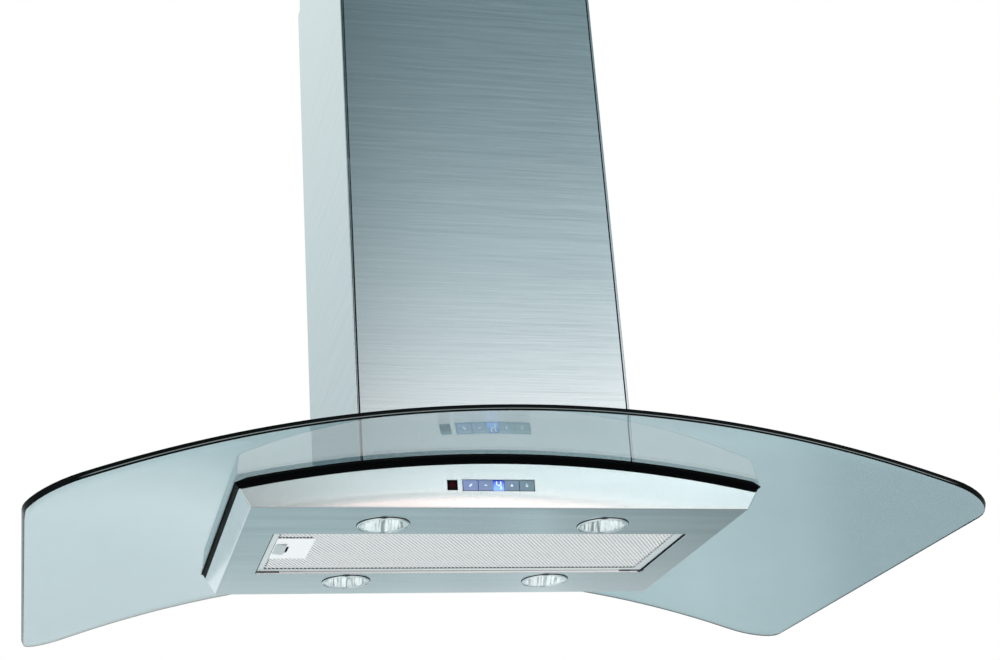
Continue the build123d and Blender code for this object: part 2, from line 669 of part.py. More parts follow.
with BuildPart() as cover_brackets:
    bracket_z = up(RING_Z + RING_T)
    for side in (-1, 1):
        foot = sorted((side * (LOW_POST_X - CLIP_FOOT), side * COVER_IN_X))
        leg = sorted((side * (COVER_IN_X - CLIP_T), side * COVER_IN_X))
        block(foot[0], foot[1], -CLIP_SIDE, CLIP_SIDE, bracket_z, bracket_z + CLIP_T)
        block(leg[0], leg[1], -CLIP_SIDE, CLIP_SIDE, bracket_z + CLIP_T, bracket_z + CLIP_H)
        foot = sorted((side * (LOW_POST_Y - CLIP_FOOT), side * COVER_IN_Y))
        leg = sorted((side * (COVER_IN_Y - CLIP_T), side * COVER_IN_Y))
        block(-CLIP_END, CLIP_END, foot[0], foot[1], bracket_z, bracket_z + CLIP_T)
        block(-CLIP_END, CLIP_END, leg[0], leg[1], bracket_z + CLIP_T, bracket_z + CLIP_H)
cover_brackets.part.label = "cover_brackets"
export_step(cover_brackets.part, "parts/cover_brackets.step")

# ------------------------------------------------------------ air channel
PLENUM_HOLE_X = CASING_W - 2 * PLENUM_RIM_X
PLENUM_HOLE_Y = PLENUM_D - 2 * PLENUM_RIM_Y
with BuildPart() as plenum:
    floor_z = up(BODY_SHEET)
    px = PLENUM_W / 2
    py = PLENUM_D / 2
    block(-px, px, -py, py, floor_z, up(PLENUM_TOP))
    block(
        -px + SHEET, px - SHEET, -py + SHEET, py - SHEET,
        floor_z, up(PLENUM_TOP) - SHEET, mode=Mode.SUBTRACT,
    )
    with Locations((0, 0, up(PLENUM_TOP))):
        Box(PLENUM_HOLE_X, PLENUM_HOLE_Y, 2 * (SHEET + OVER), mode=Mode.SUBTRACT)
    tab_y = py - PLENUM_TAB_SETBACK
    tab_x = PLENUM_TAB_HALF
    for side in (-1, 1):
        ends = sorted((side * px, side * (px + PLENUM_TAB)))
        block(ends[0], ends[1], -tab_y, tab_y, floor_z, floor_z + SHEET)
        ends = sorted((side * py, side * (py + PLENUM_TAB)))
        block(-tab_x, tab_x, ends[0], ends[1], floor_z, floor_z + SHEET)
plenum.part.label = "plenum"
export_step(plenum.part, "parts/plenum.step")

SCROLL_Y1 = FAN_Y + SCROLL_RADII[2] + (SCROLL_RADII[1] - SCROLL_RADII[0])
with BuildPart() as blower_casing:
    cx = CASING_W / 2
    cy = CASING_D / 2
    block(-cx, cx, -cy, cy, up(PLENUM_TOP), up(CASING_TOP))
    block(
        -cx + SHEET, cx - SHEET, -cy + SHEET, cy - SHEET,
        up(PLENUM_TOP) + SHEET, up(CASING_TOP) - SHEET, mode=Mode.SUBTRACT,
    )
    with Locations((0, 0, up(PLENUM_TOP))):
        Box(PLENUM_HOLE_X, PLENUM_HOLE_Y, 2 * (SHEET + OVER), mode=Mode.SUBTRACT)
    half_out = SCROLL_W / 2
    top = up(CASING_TOP)
    block(-half_out, half_out, FAN_Y, SCROLL_Y1, top - SHEET - OVER, top + OVER, mode=Mode.SUBTRACT)
    service_x = cx - SERVICE_MARGIN
    block(
        -service_x, service_x, -cy - OVER, -cy + SHEET + OVER,
        up(SERVICE_Z0), top - SERVICE_TOP, mode=Mode.SUBTRACT,
    )
blower_casing.part.label = "blower_casing"
export_step(blower_casing.part, "parts/blower_casing.step")

LID_SCREW_X = cx - LID_SCREW_INSET
LID_SCREW_Z = (LID_Z0 + LID_SCREW_INSET, CASING_TOP - LID_TOP - LID_SCREW_INSET)
with BuildPart() as casing_cover:
    lid_x = cx - LID_MARGIN
    block(-lid_x, lid_x, -cy - SHEET, -cy, up(LID_Z0), up(CASING_TOP - LID_TOP))
    for screw_x in (-LID_SCREW_X, LID_SCREW_X):
        for screw_z in LID_SCREW_Z:
            screw_hole_r = SCREW_R + SCREW_FIT
            rod_y(screw_x, -cy - SHEET - OVER, -cy + OVER, up(screw_z), screw_hole_r, mode=Mode.SUBTRACT)
casing_cover.part.label = "casing_cover"
export_step(casing_cover.part, "parts/casing_cover.step")

with BuildPart() as casing_screws:
    head_y = -cy - SHEET
    for screw_x in (-LID_SCREW_X, LID_SCREW_X):
        for screw_z in LID_SCREW_Z:
            rod_y(screw_x, head_y - SCREW_HEAD_H, head_y, up(screw_z), LID_SCREW_HEAD_R)
            rod_y(screw_x, head_y, -cy, up(screw_z), SCREW_R)
casing_screws.part.label = "casing_screws"
export_step(casing_screws.part, "parts/casing_screws.step")


def scroll_profile(wall):
    """Side outline of the fan scroll, its three arcs grown by the wall."""
    r1, r2, r3 = SCROLL_RADII
    fan_z = up(FAN_Z)
    mid_y = FAN_Y + r2 - r1
    low_z = fan_z + r3 - r2
    top_z = up(CASING_TOP) - SHEET
    tongue = degrees(asin(wall / (r1 + wall)))
    with BuildSketch(Plane.YZ, mode=Mode.PRIVATE) as profile:
        with BuildLine():
            small_arc = CenterArc((FAN_Y, fan_z), r1 + wall, 90 + tongue, 90 - tongue)
            Polyline(
                (mid_y + r3 + wall, low_z),
                (mid_y + r3 + wall, top_z),
                (FAN_Y - wall, top_z),
                small_arc @ 0,
            )
            CenterArc((mid_y, fan_z), r2 + wall, 180, 90)
            CenterArc((mid_y, low_z), r3 + wall, 270, 90)
        make_face()
    return profile.sketch


with BuildPart() as blower_scroll:
    extrude(scroll_profile(SCROLL_T), amount=SCROLL_W / 2 + SCROLL_T, both=True)
    extrude(scroll_profile(0), amount=SCROLL_W / 2, both=True, mode=Mode.SUBTRACT)
    rod_x(-SCROLL_W, SCROLL_W, FAN_Y, up(FAN_Z), INLET_R, mode=Mode.SUBTRACT)
blower_scroll.part.label = "blower_scroll"
export_step(blower_scroll.part, "parts/blower_scroll.step")

with BuildPart() as motor_bracket:
    with BuildSketch(Plane.YZ.offset(SCROLL_W / 2 + SCROLL_T)):
        with Locations((FAN_Y, up(FAN_Z))):
            Circle(MOTOR_R + MOTOR_RING)
            with PolarLocations(0, 3, start_angle=90):
                arm = INLET_R + MOTOR_ARM_LAP
                with Locations((arm / 2, 0)):
                    Rectangle(arm, MOTOR_ARM_W)
            Circle(MOTOR_R, mode=Mode.SUBTRACT)
    extrude(amount=MOTOR_BRACKET_T)
motor_bracket.part.label = "motor_bracket"
export_step(motor_bracket.part, "parts/motor_bracket.step")

with BuildPart() as motor_housing:
    rod_x(MOTOR_X0, MOTOR_X1, FAN_Y, up(FAN_Z), MOTOR_R)
    chamfer(motor_housing.edges().filter_by(GeomType.CIRCLE), MOTOR_CHAMFER)
    rod_x(MOTOR_X0, MOTOR_X0 + BEARING_W, FAN_Y, up(FAN_Z), BEARING_R, mode=Mode.SUBTRACT)
motor_housing.part.label = "motor_housing"
export_step(motor_housing.part, "parts/motor_housing.step")

with BuildPart() as motor_bearing:
    rod_x(MOTOR_X0, MOTOR_X0 + BEARING_W, FAN_Y, up(FAN_Z), BEARING_R)
    bore_r = SHAFT_R + SHAFT_FIT
    rod_x(MOTOR_X0, MOTOR_X0 + BEARING_W, FAN_Y, up(FAN_Z), bore_r, mode=Mode.SUBTRACT)
motor_bearing.part.label = "motor_bearing"
export_step(motor_bearing.part, "parts/motor_bearing.step")

with BuildPart() as motor_shaft:
    rod_x(-HUB_LENGTH - SHAFT_END, MOTOR_X0 + BEARING_W - SHAFT_BACK, FAN_Y, up(FAN_Z), SHAFT_R)
motor_shaft.part.label = "motor_shaft"
export_step(motor_shaft.part, "parts/motor_shaft.step")

with BuildPart() as impeller:
    with BuildSketch(Plane.YZ.offset(-FAN_W / 2)):
        with Locations((FAN_Y, up(FAN_Z))):
            with PolarLocations(FAN_R - BLADE_DEPTH / 2 - BLADE_SETBACK, BLADE_COUNT):
                Rectangle(BLADE_DEPTH, BLADE_T, rotation=BLADE_TILT)
    extrude(amount=FAN_W)
    for rim_x in (-FAN_W / 2, -RIM_W / 2, FAN_W / 2 - RIM_W):
        rod_x(rim_x, rim_x + RIM_W, FAN_Y, up(FAN_Z), FAN_R)
    eye_r = FAN_R - BLADE_DEPTH + RIM_LAP
    for rim_x in (-FAN_W / 2, FAN_W / 2 - RIM_W):
        rod_x(rim_x - OVER, rim_x + RIM_W + OVER, FAN_Y, up(FAN_Z), eye_r, mode=Mode.SUBTRACT)
    rod_x(-HUB_LENGTH, 0, FAN_Y, up(FAN_Z), HUB_R)
    rod_x(-FAN_W, FAN_W, FAN_Y, up(FAN_Z), SHAFT_R, mode=Mode.SUBTRACT)
impeller.part.label = "impeller"
export_step(impeller.part, "parts/impeller.step")

MID_OUT_Y = (FAN_Y + SCROLL_Y1) / 2
OUT_D = SCROLL_Y1 - FAN_Y
with BuildPart() as outlet_collar:
    with BuildSketch(Plane.XY.offset(up(CASING_TOP))):
        with Locations((0, MID_OUT_Y)):
            Rectangle(SCROLL_W + 2 * SCROLL_T, OUT_D + 2 * SCROLL_T)
    with BuildSketch(Plane.XY.offset(up(SPIGOT_Z0))):
        Circle(DUCT_R)
    loft()
    with BuildSketch(Plane.XY.offset(up(SPIGOT_Z0))):
        Circle(DUCT_R)
    extrude(amount=SPIGOT_Z1 - SPIGOT_Z0)
    with BuildSketch(Plane.XY.offset(up(CASING_TOP))):
        with Locations((0, MID_OUT_Y)):
            Rectangle(SCROLL_W + 2 * COLLAR_FLANGE, OUT_D + 2 * COLLAR_FLANGE)
    extrude(amount=DUCT_T)
    with BuildSketch(Plane.XY.offset(up(CASING_TOP))):
        with Locations((0, MID_OUT_Y)):
            Rectangle(SCROLL_W, OUT_D)
    with BuildSketch(Plane.XY.offset(up(SPIGOT_Z0))):
        Circle(DUCT_R - DUCT_T)
    loft(mode=Mode.SUBTRACT)
    disc(0, 0, up(SPIGOT_Z0), up(SPIGOT_Z1), DUCT_R - DUCT_T, mode=Mode.SUBTRACT)
    with BuildSketch(Plane.XY.offset(up(FLAP_Z - BAR_DROP))):
        Rectangle(2 * DUCT_R, BAR_W)
        Circle(DUCT_R - DUCT_T / 2, mode=Mode.INTERSECT)
    extrude(amount=BAR_H)
    for side_y in (-FLAP_Y, FLAP_Y):
        rod_x(-DUCT_R, DUCT_R, side_y, up(FLAP_Z), PIN_R + RUN_FIT, mode=Mode.SUBTRACT)
outlet_collar.part.label = "outlet_collar"
export_step(outlet_collar.part, "parts/outlet_collar.step")

for name, side in (("front", -1), ("rear", 1)):
    with BuildPart() as flap:
        with BuildSketch(Plane.XY.offset(up(FLAP_Z) - FLAP_T / 2)):
            Circle(DUCT_R - DUCT_T - FLAP_GAP)
            with Locations((0, side * (FLAP_Y + DUCT_R))):
                Rectangle(2 * DUCT_R, 2 * DUCT_R, mode=Mode.INTERSECT)
        extrude(amount=FLAP_T)
        pin_x = DUCT_R - FLAP_PIN_SETBACK
        rod_x(-pin_x, pin_x, side * FLAP_Y, up(FLAP_Z), PIN_R)
    flap.part.label = f"damper_flap_{name}"
    export_step(flap.part, f"parts/damper_flap_{name}.step")

# --------------------------------------------------------- electrical box
with BuildPart() as capacitor:
    can_x = -cx - CAPACITOR_GAP - CAPACITOR_R
    disc(can_x, CAPACITOR_Y, up(ELECTRIC_Z0), up(ELECTRIC_Z1), CAPACITOR_R)
    fillet(capacitor.edges().filter_by(GeomType.CIRCLE), CAPACITOR_ROUND)
    pad_z = up(ELECTRIC_Z0 + CAPACITOR_PAD_Z)
    block(
        -cx - CAPACITOR_GAP, -cx, CAPACITOR_Y - CAPACITOR_PAD, CAPACITOR_Y + CAPACITOR_PAD,
        pad_z, pad_z + CAPACITOR_PAD_H,
    )
    for pin_y in (CAPACITOR_Y - TERMINAL_PITCH / 2, CAPACITOR_Y + TERMINAL_PITCH / 2):
        block(
            can_x - TERMINAL_T / 2, can_x + TERMINAL_T / 2,
            pin_y - TERMINAL_W / 2, pin_y + TERMINAL_W / 2,
            up(ELECTRIC_Z1 - OVER), up(ELECTRIC_Z1 + TERMINAL_H),
        )
capacitor.part.label = "capacitor"
export_step(capacitor.part, "parts/capacitor.step")

box_x = cx + BOX_DEPTH
box_top = up(ELECTRIC_Z1)
gland_x = cx + BOX_DEPTH / 2
with BuildPart() as terminal_box:
    block(cx, box_x, -BOX_HALF, BOX_HALF, up(ELECTRIC_Z0), box_top)
    block(
        cx + BOX_T, box_x, -BOX_HALF + BOX_T, BOX_HALF - BOX_T,
        up(ELECTRIC_Z0) + BOX_T, box_top - BOX_T, mode=Mode.SUBTRACT,
    )
    disc(gland_x, GLAND_Y, box_top - BOX_T - OVER, box_top + OVER, GLAND_HOLE_R, mode=Mode.SUBTRACT)
terminal_box.part.label = "terminal_box"
export_step(terminal_box.part, "parts/terminal_box.step")

with BuildPart() as terminal_cover:
    block(box_x, box_x + BOX_T, -BOX_HALF, BOX_HALF, up(ELECTRIC_Z0), box_top)
terminal_cover.part.label = "terminal_cover"
export_step(terminal_cover.part, "parts/terminal_cover.step")

with BuildPart() as cable_gland:
    low = box_top - BOX_T - GLAND_END
    cap_z = box_top + GLAND_NUT_H
    disc(gland_x, GLAND_Y, low, box_top, GLAND_R)
    with BuildSketch(Plane.XY.offset(box_top)):
        with Locations((gland_x, GLAND_Y)):
            RegularPolygon(GLAND_NUT_R, 6)
    extrude(amount=GLAND_NUT_H)
    disc(gland_x, GLAND_Y, cap_z, cap_z + GLAND_CAP_H, GLAND_CAP_R)
    bore_ends = (low - OVER, cap_z + GLAND_CAP_H + OVER)
    disc(gland_x, GLAND_Y, bore_ends[0], bore_ends[1], GLAND_BORE_R, mode=Mode.SUBTRACT)
cable_gland.part.label = "cable_gland"
export_step(cable_gland.part, "parts/cable_gland.step")

with BuildPart() as lamp_transformer:
    block(
        TRANSFORMER_X0, TRANSFORMER_X1, TRANSFORMER_Y0, TRANSFORMER_Y1,
        up(BODY_SHEET), up(TRANSFORMER_TOP),
    )
    fillet(lamp_transformer.edges().filter_by(Axis.Z), TRANSFORMER_ROUND)
lamp_transformer.part.label = "lamp_transformer"
export_step(lamp_transformer.part, "parts/lamp_transformer.step")

# ------------------------------------------------------------------ lamps
for name, (lamp_x, lamp_y) in LAMP_SPOTS.items():
    with BuildPart() as lamp_bezel:
        disc(lamp_x, lamp_y, up(-BEZEL_T), up(0), LAMP_R)
        chamfer(lamp_bezel.faces().sort_by(Axis.Z)[0].edges(), BEZEL_CHAMFER)
        disc(lamp_x, lamp_y, up(0), up(SLEEVE_H), SLEEVE_R)
        ends = (up(-BEZEL_T - OVER), up(SLEEVE_H + OVER))
        disc(lamp_x, lamp_y, ends[0], ends[1], LENS_R, mode=Mode.SUBTRACT)
    lamp_bezel.part.label = f"lamp_bezel_{name}"
    export_step(lamp_bezel.part, f"parts/lamp_bezel_{name}.step")

    with BuildPart() as lamp_lens:
        disc(lamp_x, lamp_y, up(LENS_Z0), up(LENS_Z1), LENS_R - LENS_FIT)
        ends = (up(LENS_Z0 + LENS_FACE_T), up(LENS_Z1 + OVER))
        disc(lamp_x, lamp_y, ends[0], ends[1], LENS_R - LENS_RIM, mode=Mode.SUBTRACT)
    lamp_lens.part.label = f"lamp_lens_{name}"
    export_step(lamp_lens.part, f"parts/lamp_lens_{name}.step")

HOUSING_ROOF = HOUSING_TOP - HOUSING_T
with BuildPart() as lamp_housings:
    for lamp_x, lamp_y in LAMP_SPOTS.values():
        disc(lamp_x, lamp_y, up(BODY_SHEET), up(BODY_SHEET) + SHEET, HOUSING_FLANGE_R)
        disc(lamp_x, lamp_y, up(BODY_SHEET) + SHEET, up(HOUSING_TOP), HOUSING_R)
        disc(lamp_x, lamp_y, up(0), up(HOUSING_ROOF), LAMP_HOLE_R, mode=Mode.SUBTRACT)
lamp_housings.part.label = "lamp_housings"
export_step(lamp_housings.part, "parts/lamp_housings.step")

with BuildPart() as lamp_bulbs:
    for lamp_x, lamp_y in LAMP_SPOTS.values():
        socket_z = up(HOUSING_ROOF - SOCKET_H)
        disc(lamp_x, lamp_y, socket_z, up(HOUSING_ROOF), SOCKET_R)
        disc(lamp_x, lamp_y, socket_z - CAPSULE_H, socket_z, CAPSULE_R)
lamp_bulbs.part.label = "lamp_bulbs"
export_step(lamp_bulbs.part, "parts/lamp_bulbs.step")

# --------------------------------------------------------------- controls
KEY_FRONT = -HALF_D - BUTTON_TRAVEL
KEY_STOP_Y = -INNER_Y + BUTTON_STOP_GAP
KEY_BACK = KEY_STOP_Y + BUTTON_STOP_T
CARRIER_Y0 = KEY_BACK + CARRIER_ROOM
CARRIER_Y1 = CARRIER_Y0 + CARRIER_T
BOARD_Y = CARRIER_Y1 + BOARD_GAP
DISPLAY_X0 = PANEL_X0 + KEYS_LEFT_OF_DISPLAY * BUTTON_PITCH
KEY_LEFTS = {
    name: PANEL_X0 + place * BUTTON_PITCH + (DISPLAY_W if place >= KEYS_LEFT_OF_DISPLAY else 0)
    for place, name in enumerate(KEY_ORDER)
}

for name, left in KEY_LEFTS.items():
    middle = left + BUTTON_PITCH / 2
    half = (BUTTON_PITCH - BUTTON_SLIT) / 2
    with BuildPart() as key:
        block(
            middle - half, middle + half, KEY_FRONT, KEY_BACK,
            up(PANEL_Z - BUTTON_H / 2), up(PANEL_Z + BUTTON_H / 2),
        )
        chamfer(key.faces().sort_by(Axis.Y)[0].edges(), BUTTON_CHAMFER)
        stop = BUTTON_H / 2 + BUTTON_STOP
        block(middle - half, middle + half, KEY_STOP_Y, KEY_BACK, up(PANEL_Z - stop), up(PANEL_Z + stop))
        rod_y(middle, KEY_BACK, CARRIER_Y1 - STEM_END, up(PANEL_Z), STEM_R)
    key.part.label = name
    export_step(key.part, f"parts/{name}.step")

with BuildPart() as control_carrier:
    block(CARRIER_X0, CARRIER_X1, -INNER_Y, CARRIER_Y1, up(CARRIER_Z0), up(CARRIER_Z1))
    block(
        CARRIER_X0 + CARRIER_WALL, CARRIER_X1 - CARRIER_WALL, -INNER_Y, CARRIER_Y0,
        up(CARRIER_Z0 + CARRIER_WALL), up(CARRIER_Z1 - CARRIER_WALL), mode=Mode.SUBTRACT,
    )
    stem_hole_r = STEM_R + STEM_FIT
    for left in KEY_LEFTS.values():
        stem_x = left + BUTTON_PITCH / 2
        rod_y(stem_x, CARRIER_Y0 - OVER, CARRIER_Y1 + OVER, up(PANEL_Z), stem_hole_r, mode=Mode.SUBTRACT)
    for post_x in (CARRIER_X0 + BOARD_POST_INSET, CARRIER_X1 - BOARD_POST_INSET):
        rod_y(post_x, CARRIER_Y1, BOARD_Y, up(PANEL_Z), BOARD_POST_R)
control_carrier.part.label = "control_carrier"
export_step(control_carrier.part, "parts/control_carrier.step")

with BuildPart() as control_board:
    block(
        CARRIER_X0 + BOARD_INSET, CARRIER_X1 - BOARD_INSET, BOARD_Y, BOARD_Y + BOARD_T,
        up(CARRIER_Z0 + BOARD_EDGE), up(CARRIER_Z1 - BOARD_EDGE),
    )
control_board.part.label = "control_board"
export_step(control_board.part, "parts/control_board.step")

with BuildPart() as key_switches:
    for left in KEY_LEFTS.values():
        middle = left + BUTTON_PITCH / 2
        block(
            middle - SWITCH_HALF, middle + SWITCH_HALF, CARRIER_Y1 + SWITCH_GAP, BOARD_Y,
            up(PANEL_Z - SWITCH_HALF), up(PANEL_Z + SWITCH_HALF),
        )
key_switches.part.label = "key_switches"
export_step(key_switches.part, "parts/key_switches.step")

with BuildPart() as display_window:
    block(
        DISPLAY_X0 + BUTTON_SLIT / 2, DISPLAY_X0 + DISPLAY_W - BUTTON_SLIT / 2,
        -HALF_D - WINDOW_PROUD, CARRIER_Y0,
        up(PANEL_Z - BUTTON_H / 2), up(PANEL_Z + BUTTON_H / 2),
    )
display_window.part.label = "display_window"
export_step(display_window.part, "parts/display_window.step")

with BuildPart() as ir_window:
    block(
        IR_X - IR_SIZE / 2, IR_X + IR_SIZE / 2, -HALF_D - WINDOW_PROUD, CARRIER_Y0,
        up(PANEL_Z - IR_SIZE / 2), up(PANEL_Z + IR_SIZE / 2),
    )
ir_window.part.label = "ir_window"
export_step(ir_window.part, "parts/ir_window.step")

# ----------------------------------------------------------------- filter
FRAME_X = open_x - FILTER_GAP
FRAME_Y = open_y - FILTER_GAP
FILTER_TOP = FILTER_RISE + FILTER_T
HINGE_Z = FILTER_RISE + FILTER_T / 2
MESH_X0 = -FRAME_X + FRAME_LEFT
MESH_X1 = FRAME_X - FRAME_RIGHT
MESH_Y = FRAME_Y - FRAME_LONG
TONGUE_Z0 = hem_z + HINGE_GAP
TONGUE_Z1 = TONGUE_Z0 + TONGUE_T
EAR_Y = hem_y + HINGE_GAP
EAR_OUT_Y = EAR_Y + HINGE_EAR_T

with BuildPart() as filter_frame:
    block(-FRAME_X, FRAME_X, -FRAME_Y, FRAME_Y, up(FILTER_RISE), up(FILTER_TOP))
    block(
        MESH_X0, MESH_X1, -MESH_Y, MESH_Y,
        up(FILTER_RISE - OVER), up(FILTER_TOP + OVER), mode=Mode.SUBTRACT,
    )
    slot_y = TONGUE_Y + LATCH_FIT
    block(
        -FRAME_X - OVER, MESH_X0 + OVER, LATCH_Y - slot_y, LATCH_Y + slot_y,
        up(TONGUE_Z0 - LATCH_FIT), up(TONGUE_Z1 + LATCH_FIT), mode=Mode.SUBTRACT,
    )
    for side in (-1, 1):
        pin_ends = sorted((side * (FRAME_Y - OVER), side * (EAR_OUT_Y - PIN_SETBACK)))
        rod_y(HINGE_X, pin_ends[0], pin_ends[1], up(HINGE_Z), PIN_R)
filter_frame.part.label = "filter_frame"
export_step(filter_frame.part, "parts/filter_frame.step")

# The expanded metal layers are plain sheets of the same weight.
with BuildPart() as filter_mesh:
    for rise in LAYER_RISES:
        block(
            MESH_X0 + MESH_GAP, MESH_X1 - MESH_GAP, -MESH_Y + MESH_GAP, MESH_Y - MESH_GAP,
            up(FILTER_RISE + rise), up(FILTER_RISE + rise + LAYER_T),
        )
    notch_y = TONGUE_Y + NOTCH_GAP
    block(
        MESH_X0 - OVER, TAB_X1 + LATCH_TRAVEL, LATCH_Y - notch_y, LATCH_Y + notch_y,
        up(FILTER_RISE), up(TONGUE_Z1 + NOTCH_TOP), mode=Mode.SUBTRACT,
    )
filter_mesh.part.label = "filter_mesh"
export_step(filter_mesh.part, "parts/filter_mesh.step")

with BuildPart() as filter_handle:
    block(
        HANDLE_X0, HANDLE_X1, HANDLE_Y0, HANDLE_Y1,
        up(FILTER_RISE), up(FILTER_RISE + HANDLE_T),
    )
    neck_room = TONGUE_Y - NECK_SIDE + NECK_GAP
    block(
        HANDLE_X0 - OVER, NECK_X1 + LATCH_TRAVEL + NOTCH_GAP, LATCH_Y - neck_room, LATCH_Y + neck_room,
        up(FILTER_RISE - OVER), up(FILTER_RISE + HANDLE_T + OVER), mode=Mode.SUBTRACT,
    )
filter_handle.part.label = "filter_handle"
export_step(filter_handle.part, "parts/filter_handle.step")

with BuildPart() as filter_latch:
    block(
        -FRAME_X - LATCH_TRAVEL, NECK_X1, LATCH_Y - TONGUE_Y, LATCH_Y + TONGUE_Y,
        up(TONGUE_Z0), up(TONGUE_Z1),
    )
    neck_y = TONGUE_Y - NECK_SIDE
    block(
        NECK_X0, NECK_X1, LATCH_Y - neck_y, LATCH_Y + neck_y,
        up(TAB_Z1 - NECK_LAP), up(TONGUE_Z0),
    )
    block(TAB_X0, TAB_X1, LATCH_Y - TAB_HALF, LATCH_Y + TAB_HALF, up(TAB_Z0), up(TAB_Z1))
filter_latch.part.label = "filter_latch"
export_step(filter_latch.part, "parts/filter_latch.step")

with BuildPart() as hinge_brackets:
    for side in (-1, 1):
        ends = sorted((side * EAR_Y, side * EAR_OUT_Y))
        ear_x = (HINGE_X - HINGE_EAR, HINGE_X + HINGE_EAR)
        block(ear_x[0], ear_x[1], ends[0], ends[1], up(BODY_SHEET), up(FILTER_TOP))
        pin_hole_r = PIN_R + RUN_FIT
        rod_y(HINGE_X, ends[0] - OVER, ends[1] + OVER, up(HINGE_Z), pin_hole_r, mode=Mode.SUBTRACT)
hinge_brackets.part.label = "hinge_brackets"
export_step(hinge_brackets.part, "parts/hinge_brackets.step")
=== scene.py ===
"""Looks of the curved glass range hood, built on the packed CAD frame.

The file is laid out as an add-on and is run as a script. Each operator makes
one group of pieces in the frame of the CAD part: metres, the front along -Y,
the origin on the ceiling. Heights named "rise" are above the underside of the
body.
"""

import json
import math

import bmesh
import bpy
from bpy.props import FloatProperty, FloatVectorProperty, IntProperty, PointerProperty
from mathutils import Matrix, Vector


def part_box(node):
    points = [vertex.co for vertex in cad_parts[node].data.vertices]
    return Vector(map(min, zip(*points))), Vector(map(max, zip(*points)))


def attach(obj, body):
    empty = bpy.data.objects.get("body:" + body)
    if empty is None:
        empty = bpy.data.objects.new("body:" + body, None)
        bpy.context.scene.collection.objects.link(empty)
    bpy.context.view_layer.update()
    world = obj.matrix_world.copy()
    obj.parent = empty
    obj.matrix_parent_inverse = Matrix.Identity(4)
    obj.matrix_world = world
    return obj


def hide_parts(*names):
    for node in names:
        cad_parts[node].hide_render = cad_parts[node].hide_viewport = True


bl_info = {
    "name": "Curved glass range hood",
    "version": (1, 0, 0),
    "blender": (4, 5, 0),
    "location": "3D View > Sidebar > Range hood",
    "description": "Builds the pieces and finishes of a curved glass range hood",
    "category": "Object",
}

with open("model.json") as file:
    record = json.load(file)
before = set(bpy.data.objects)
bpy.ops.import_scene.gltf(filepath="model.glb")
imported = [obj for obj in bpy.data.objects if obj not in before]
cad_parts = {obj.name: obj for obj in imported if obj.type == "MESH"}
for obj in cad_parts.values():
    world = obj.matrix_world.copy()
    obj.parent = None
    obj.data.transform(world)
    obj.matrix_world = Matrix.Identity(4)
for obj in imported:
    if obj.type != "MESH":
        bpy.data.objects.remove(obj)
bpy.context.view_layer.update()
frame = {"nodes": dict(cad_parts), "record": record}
GLASS_LOW, GLASS_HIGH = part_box("glass_canopy")
BODY_LOW, BODY_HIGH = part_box("body_shell")
COVER_LOW, COVER_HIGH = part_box("lower_chimney_shell")
FILTER_LOW, FILTER_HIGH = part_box("filter_frame")
HANDLE_LOW, HANDLE_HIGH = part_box("filter_handle")
TAB_LOW, TAB_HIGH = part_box("filter_latch")
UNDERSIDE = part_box("lamp_housings")[0].z - 0.0012
LAMP_PLACES = {
    name: (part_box(f"lamp_lens_{name}")[0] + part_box(f"lamp_lens_{name}")[1]) / 2
    for name in ("front_left", "front_right", "rear_left", "rear_right")
}
KEY_NAMES = ("light", "slower", "faster", "power")
KEYS_X = (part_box("button_light")[0].x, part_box("button_power")[1].x)
MARK_STAND = 0.00003
MARK_THICKNESS = 0.00004


def panel_openings():
    """Sides, foot and top of the body's two front cut-outs: keys, window."""
    display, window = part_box("display_window"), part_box("ir_window")
    spans = (
        (*KEYS_X, display[0].z, display[1].z, 0.0006),
        (window[0].x, window[1].x, window[0].z, window[1].z, 0.0001),
    )
    return [(x0 - gap, x1 + gap, z0 - gap, z1 + gap) for x0, x1, z0, z1, gap in spans]


# ------------------------------------------------------------- properties
def size(name, default, description):
    """A length that the user can change."""
    return FloatProperty(
        name=name, description=description, default=default, min=0.0, precision=4,
        subtype="DISTANCE", unit="LENGTH",
    )


def tint(name, default, description):
    """A colour that the user can change."""
    return FloatVectorProperty(
        name=name, description=description, default=default, size=3, min=0.0, max=1.0,
        subtype="COLOR",
    )


class HoodCanopySettings(bpy.types.PropertyGroup):
    """Sizes and finish of the bent glass."""

    width: size("Width", GLASS_HIGH.x - GLASS_LOW.x, "Chord of the glass, side to side")
    depth: size("Depth", GLASS_HIGH.y - GLASS_LOW.y, "Depth of the glass, front to rear")
    thickness: size("Thickness", 0.006, "Thickness of the glass")
    arch_radius: size("Arch radius", 1.228, "Radius of the upper face")
    corner_radius: size("Corner radius", 0.048, "Radius of the corners in plan")
    cutout_width: size("Cut-out width", 0.236, "Hole for the blower casing, side to side")
    cutout_depth: size("Cut-out depth", 0.246, "Hole for the blower casing, front to rear")
    edge_bevel: size("Edge bevel", 0.0007, "Polished bevel of the edges")
    # The lip's reach is partly a real rubber lip, partly a dark sheet in place of the gasket's dark
    # reflection in the glass.
    gasket_lip_and_reflection: size("Gasket lip", 0.0095, "Reach of the gasket's lip under the glass")
    glass_tint: tint("Glass tint", (0.35, 0.48, 0.51), "Colour that light takes in the glass")
    edge_tint: tint("Edge tint", (0.003, 0.004, 0.004), "Colour of the painted edge")
    # The grey line along the middle of the edge is a painted reflection on the polished edge.
    edge_reflection_tint: tint("Line tint", (0.16, 0.19, 0.19), "Colour of the ground line in the edge")


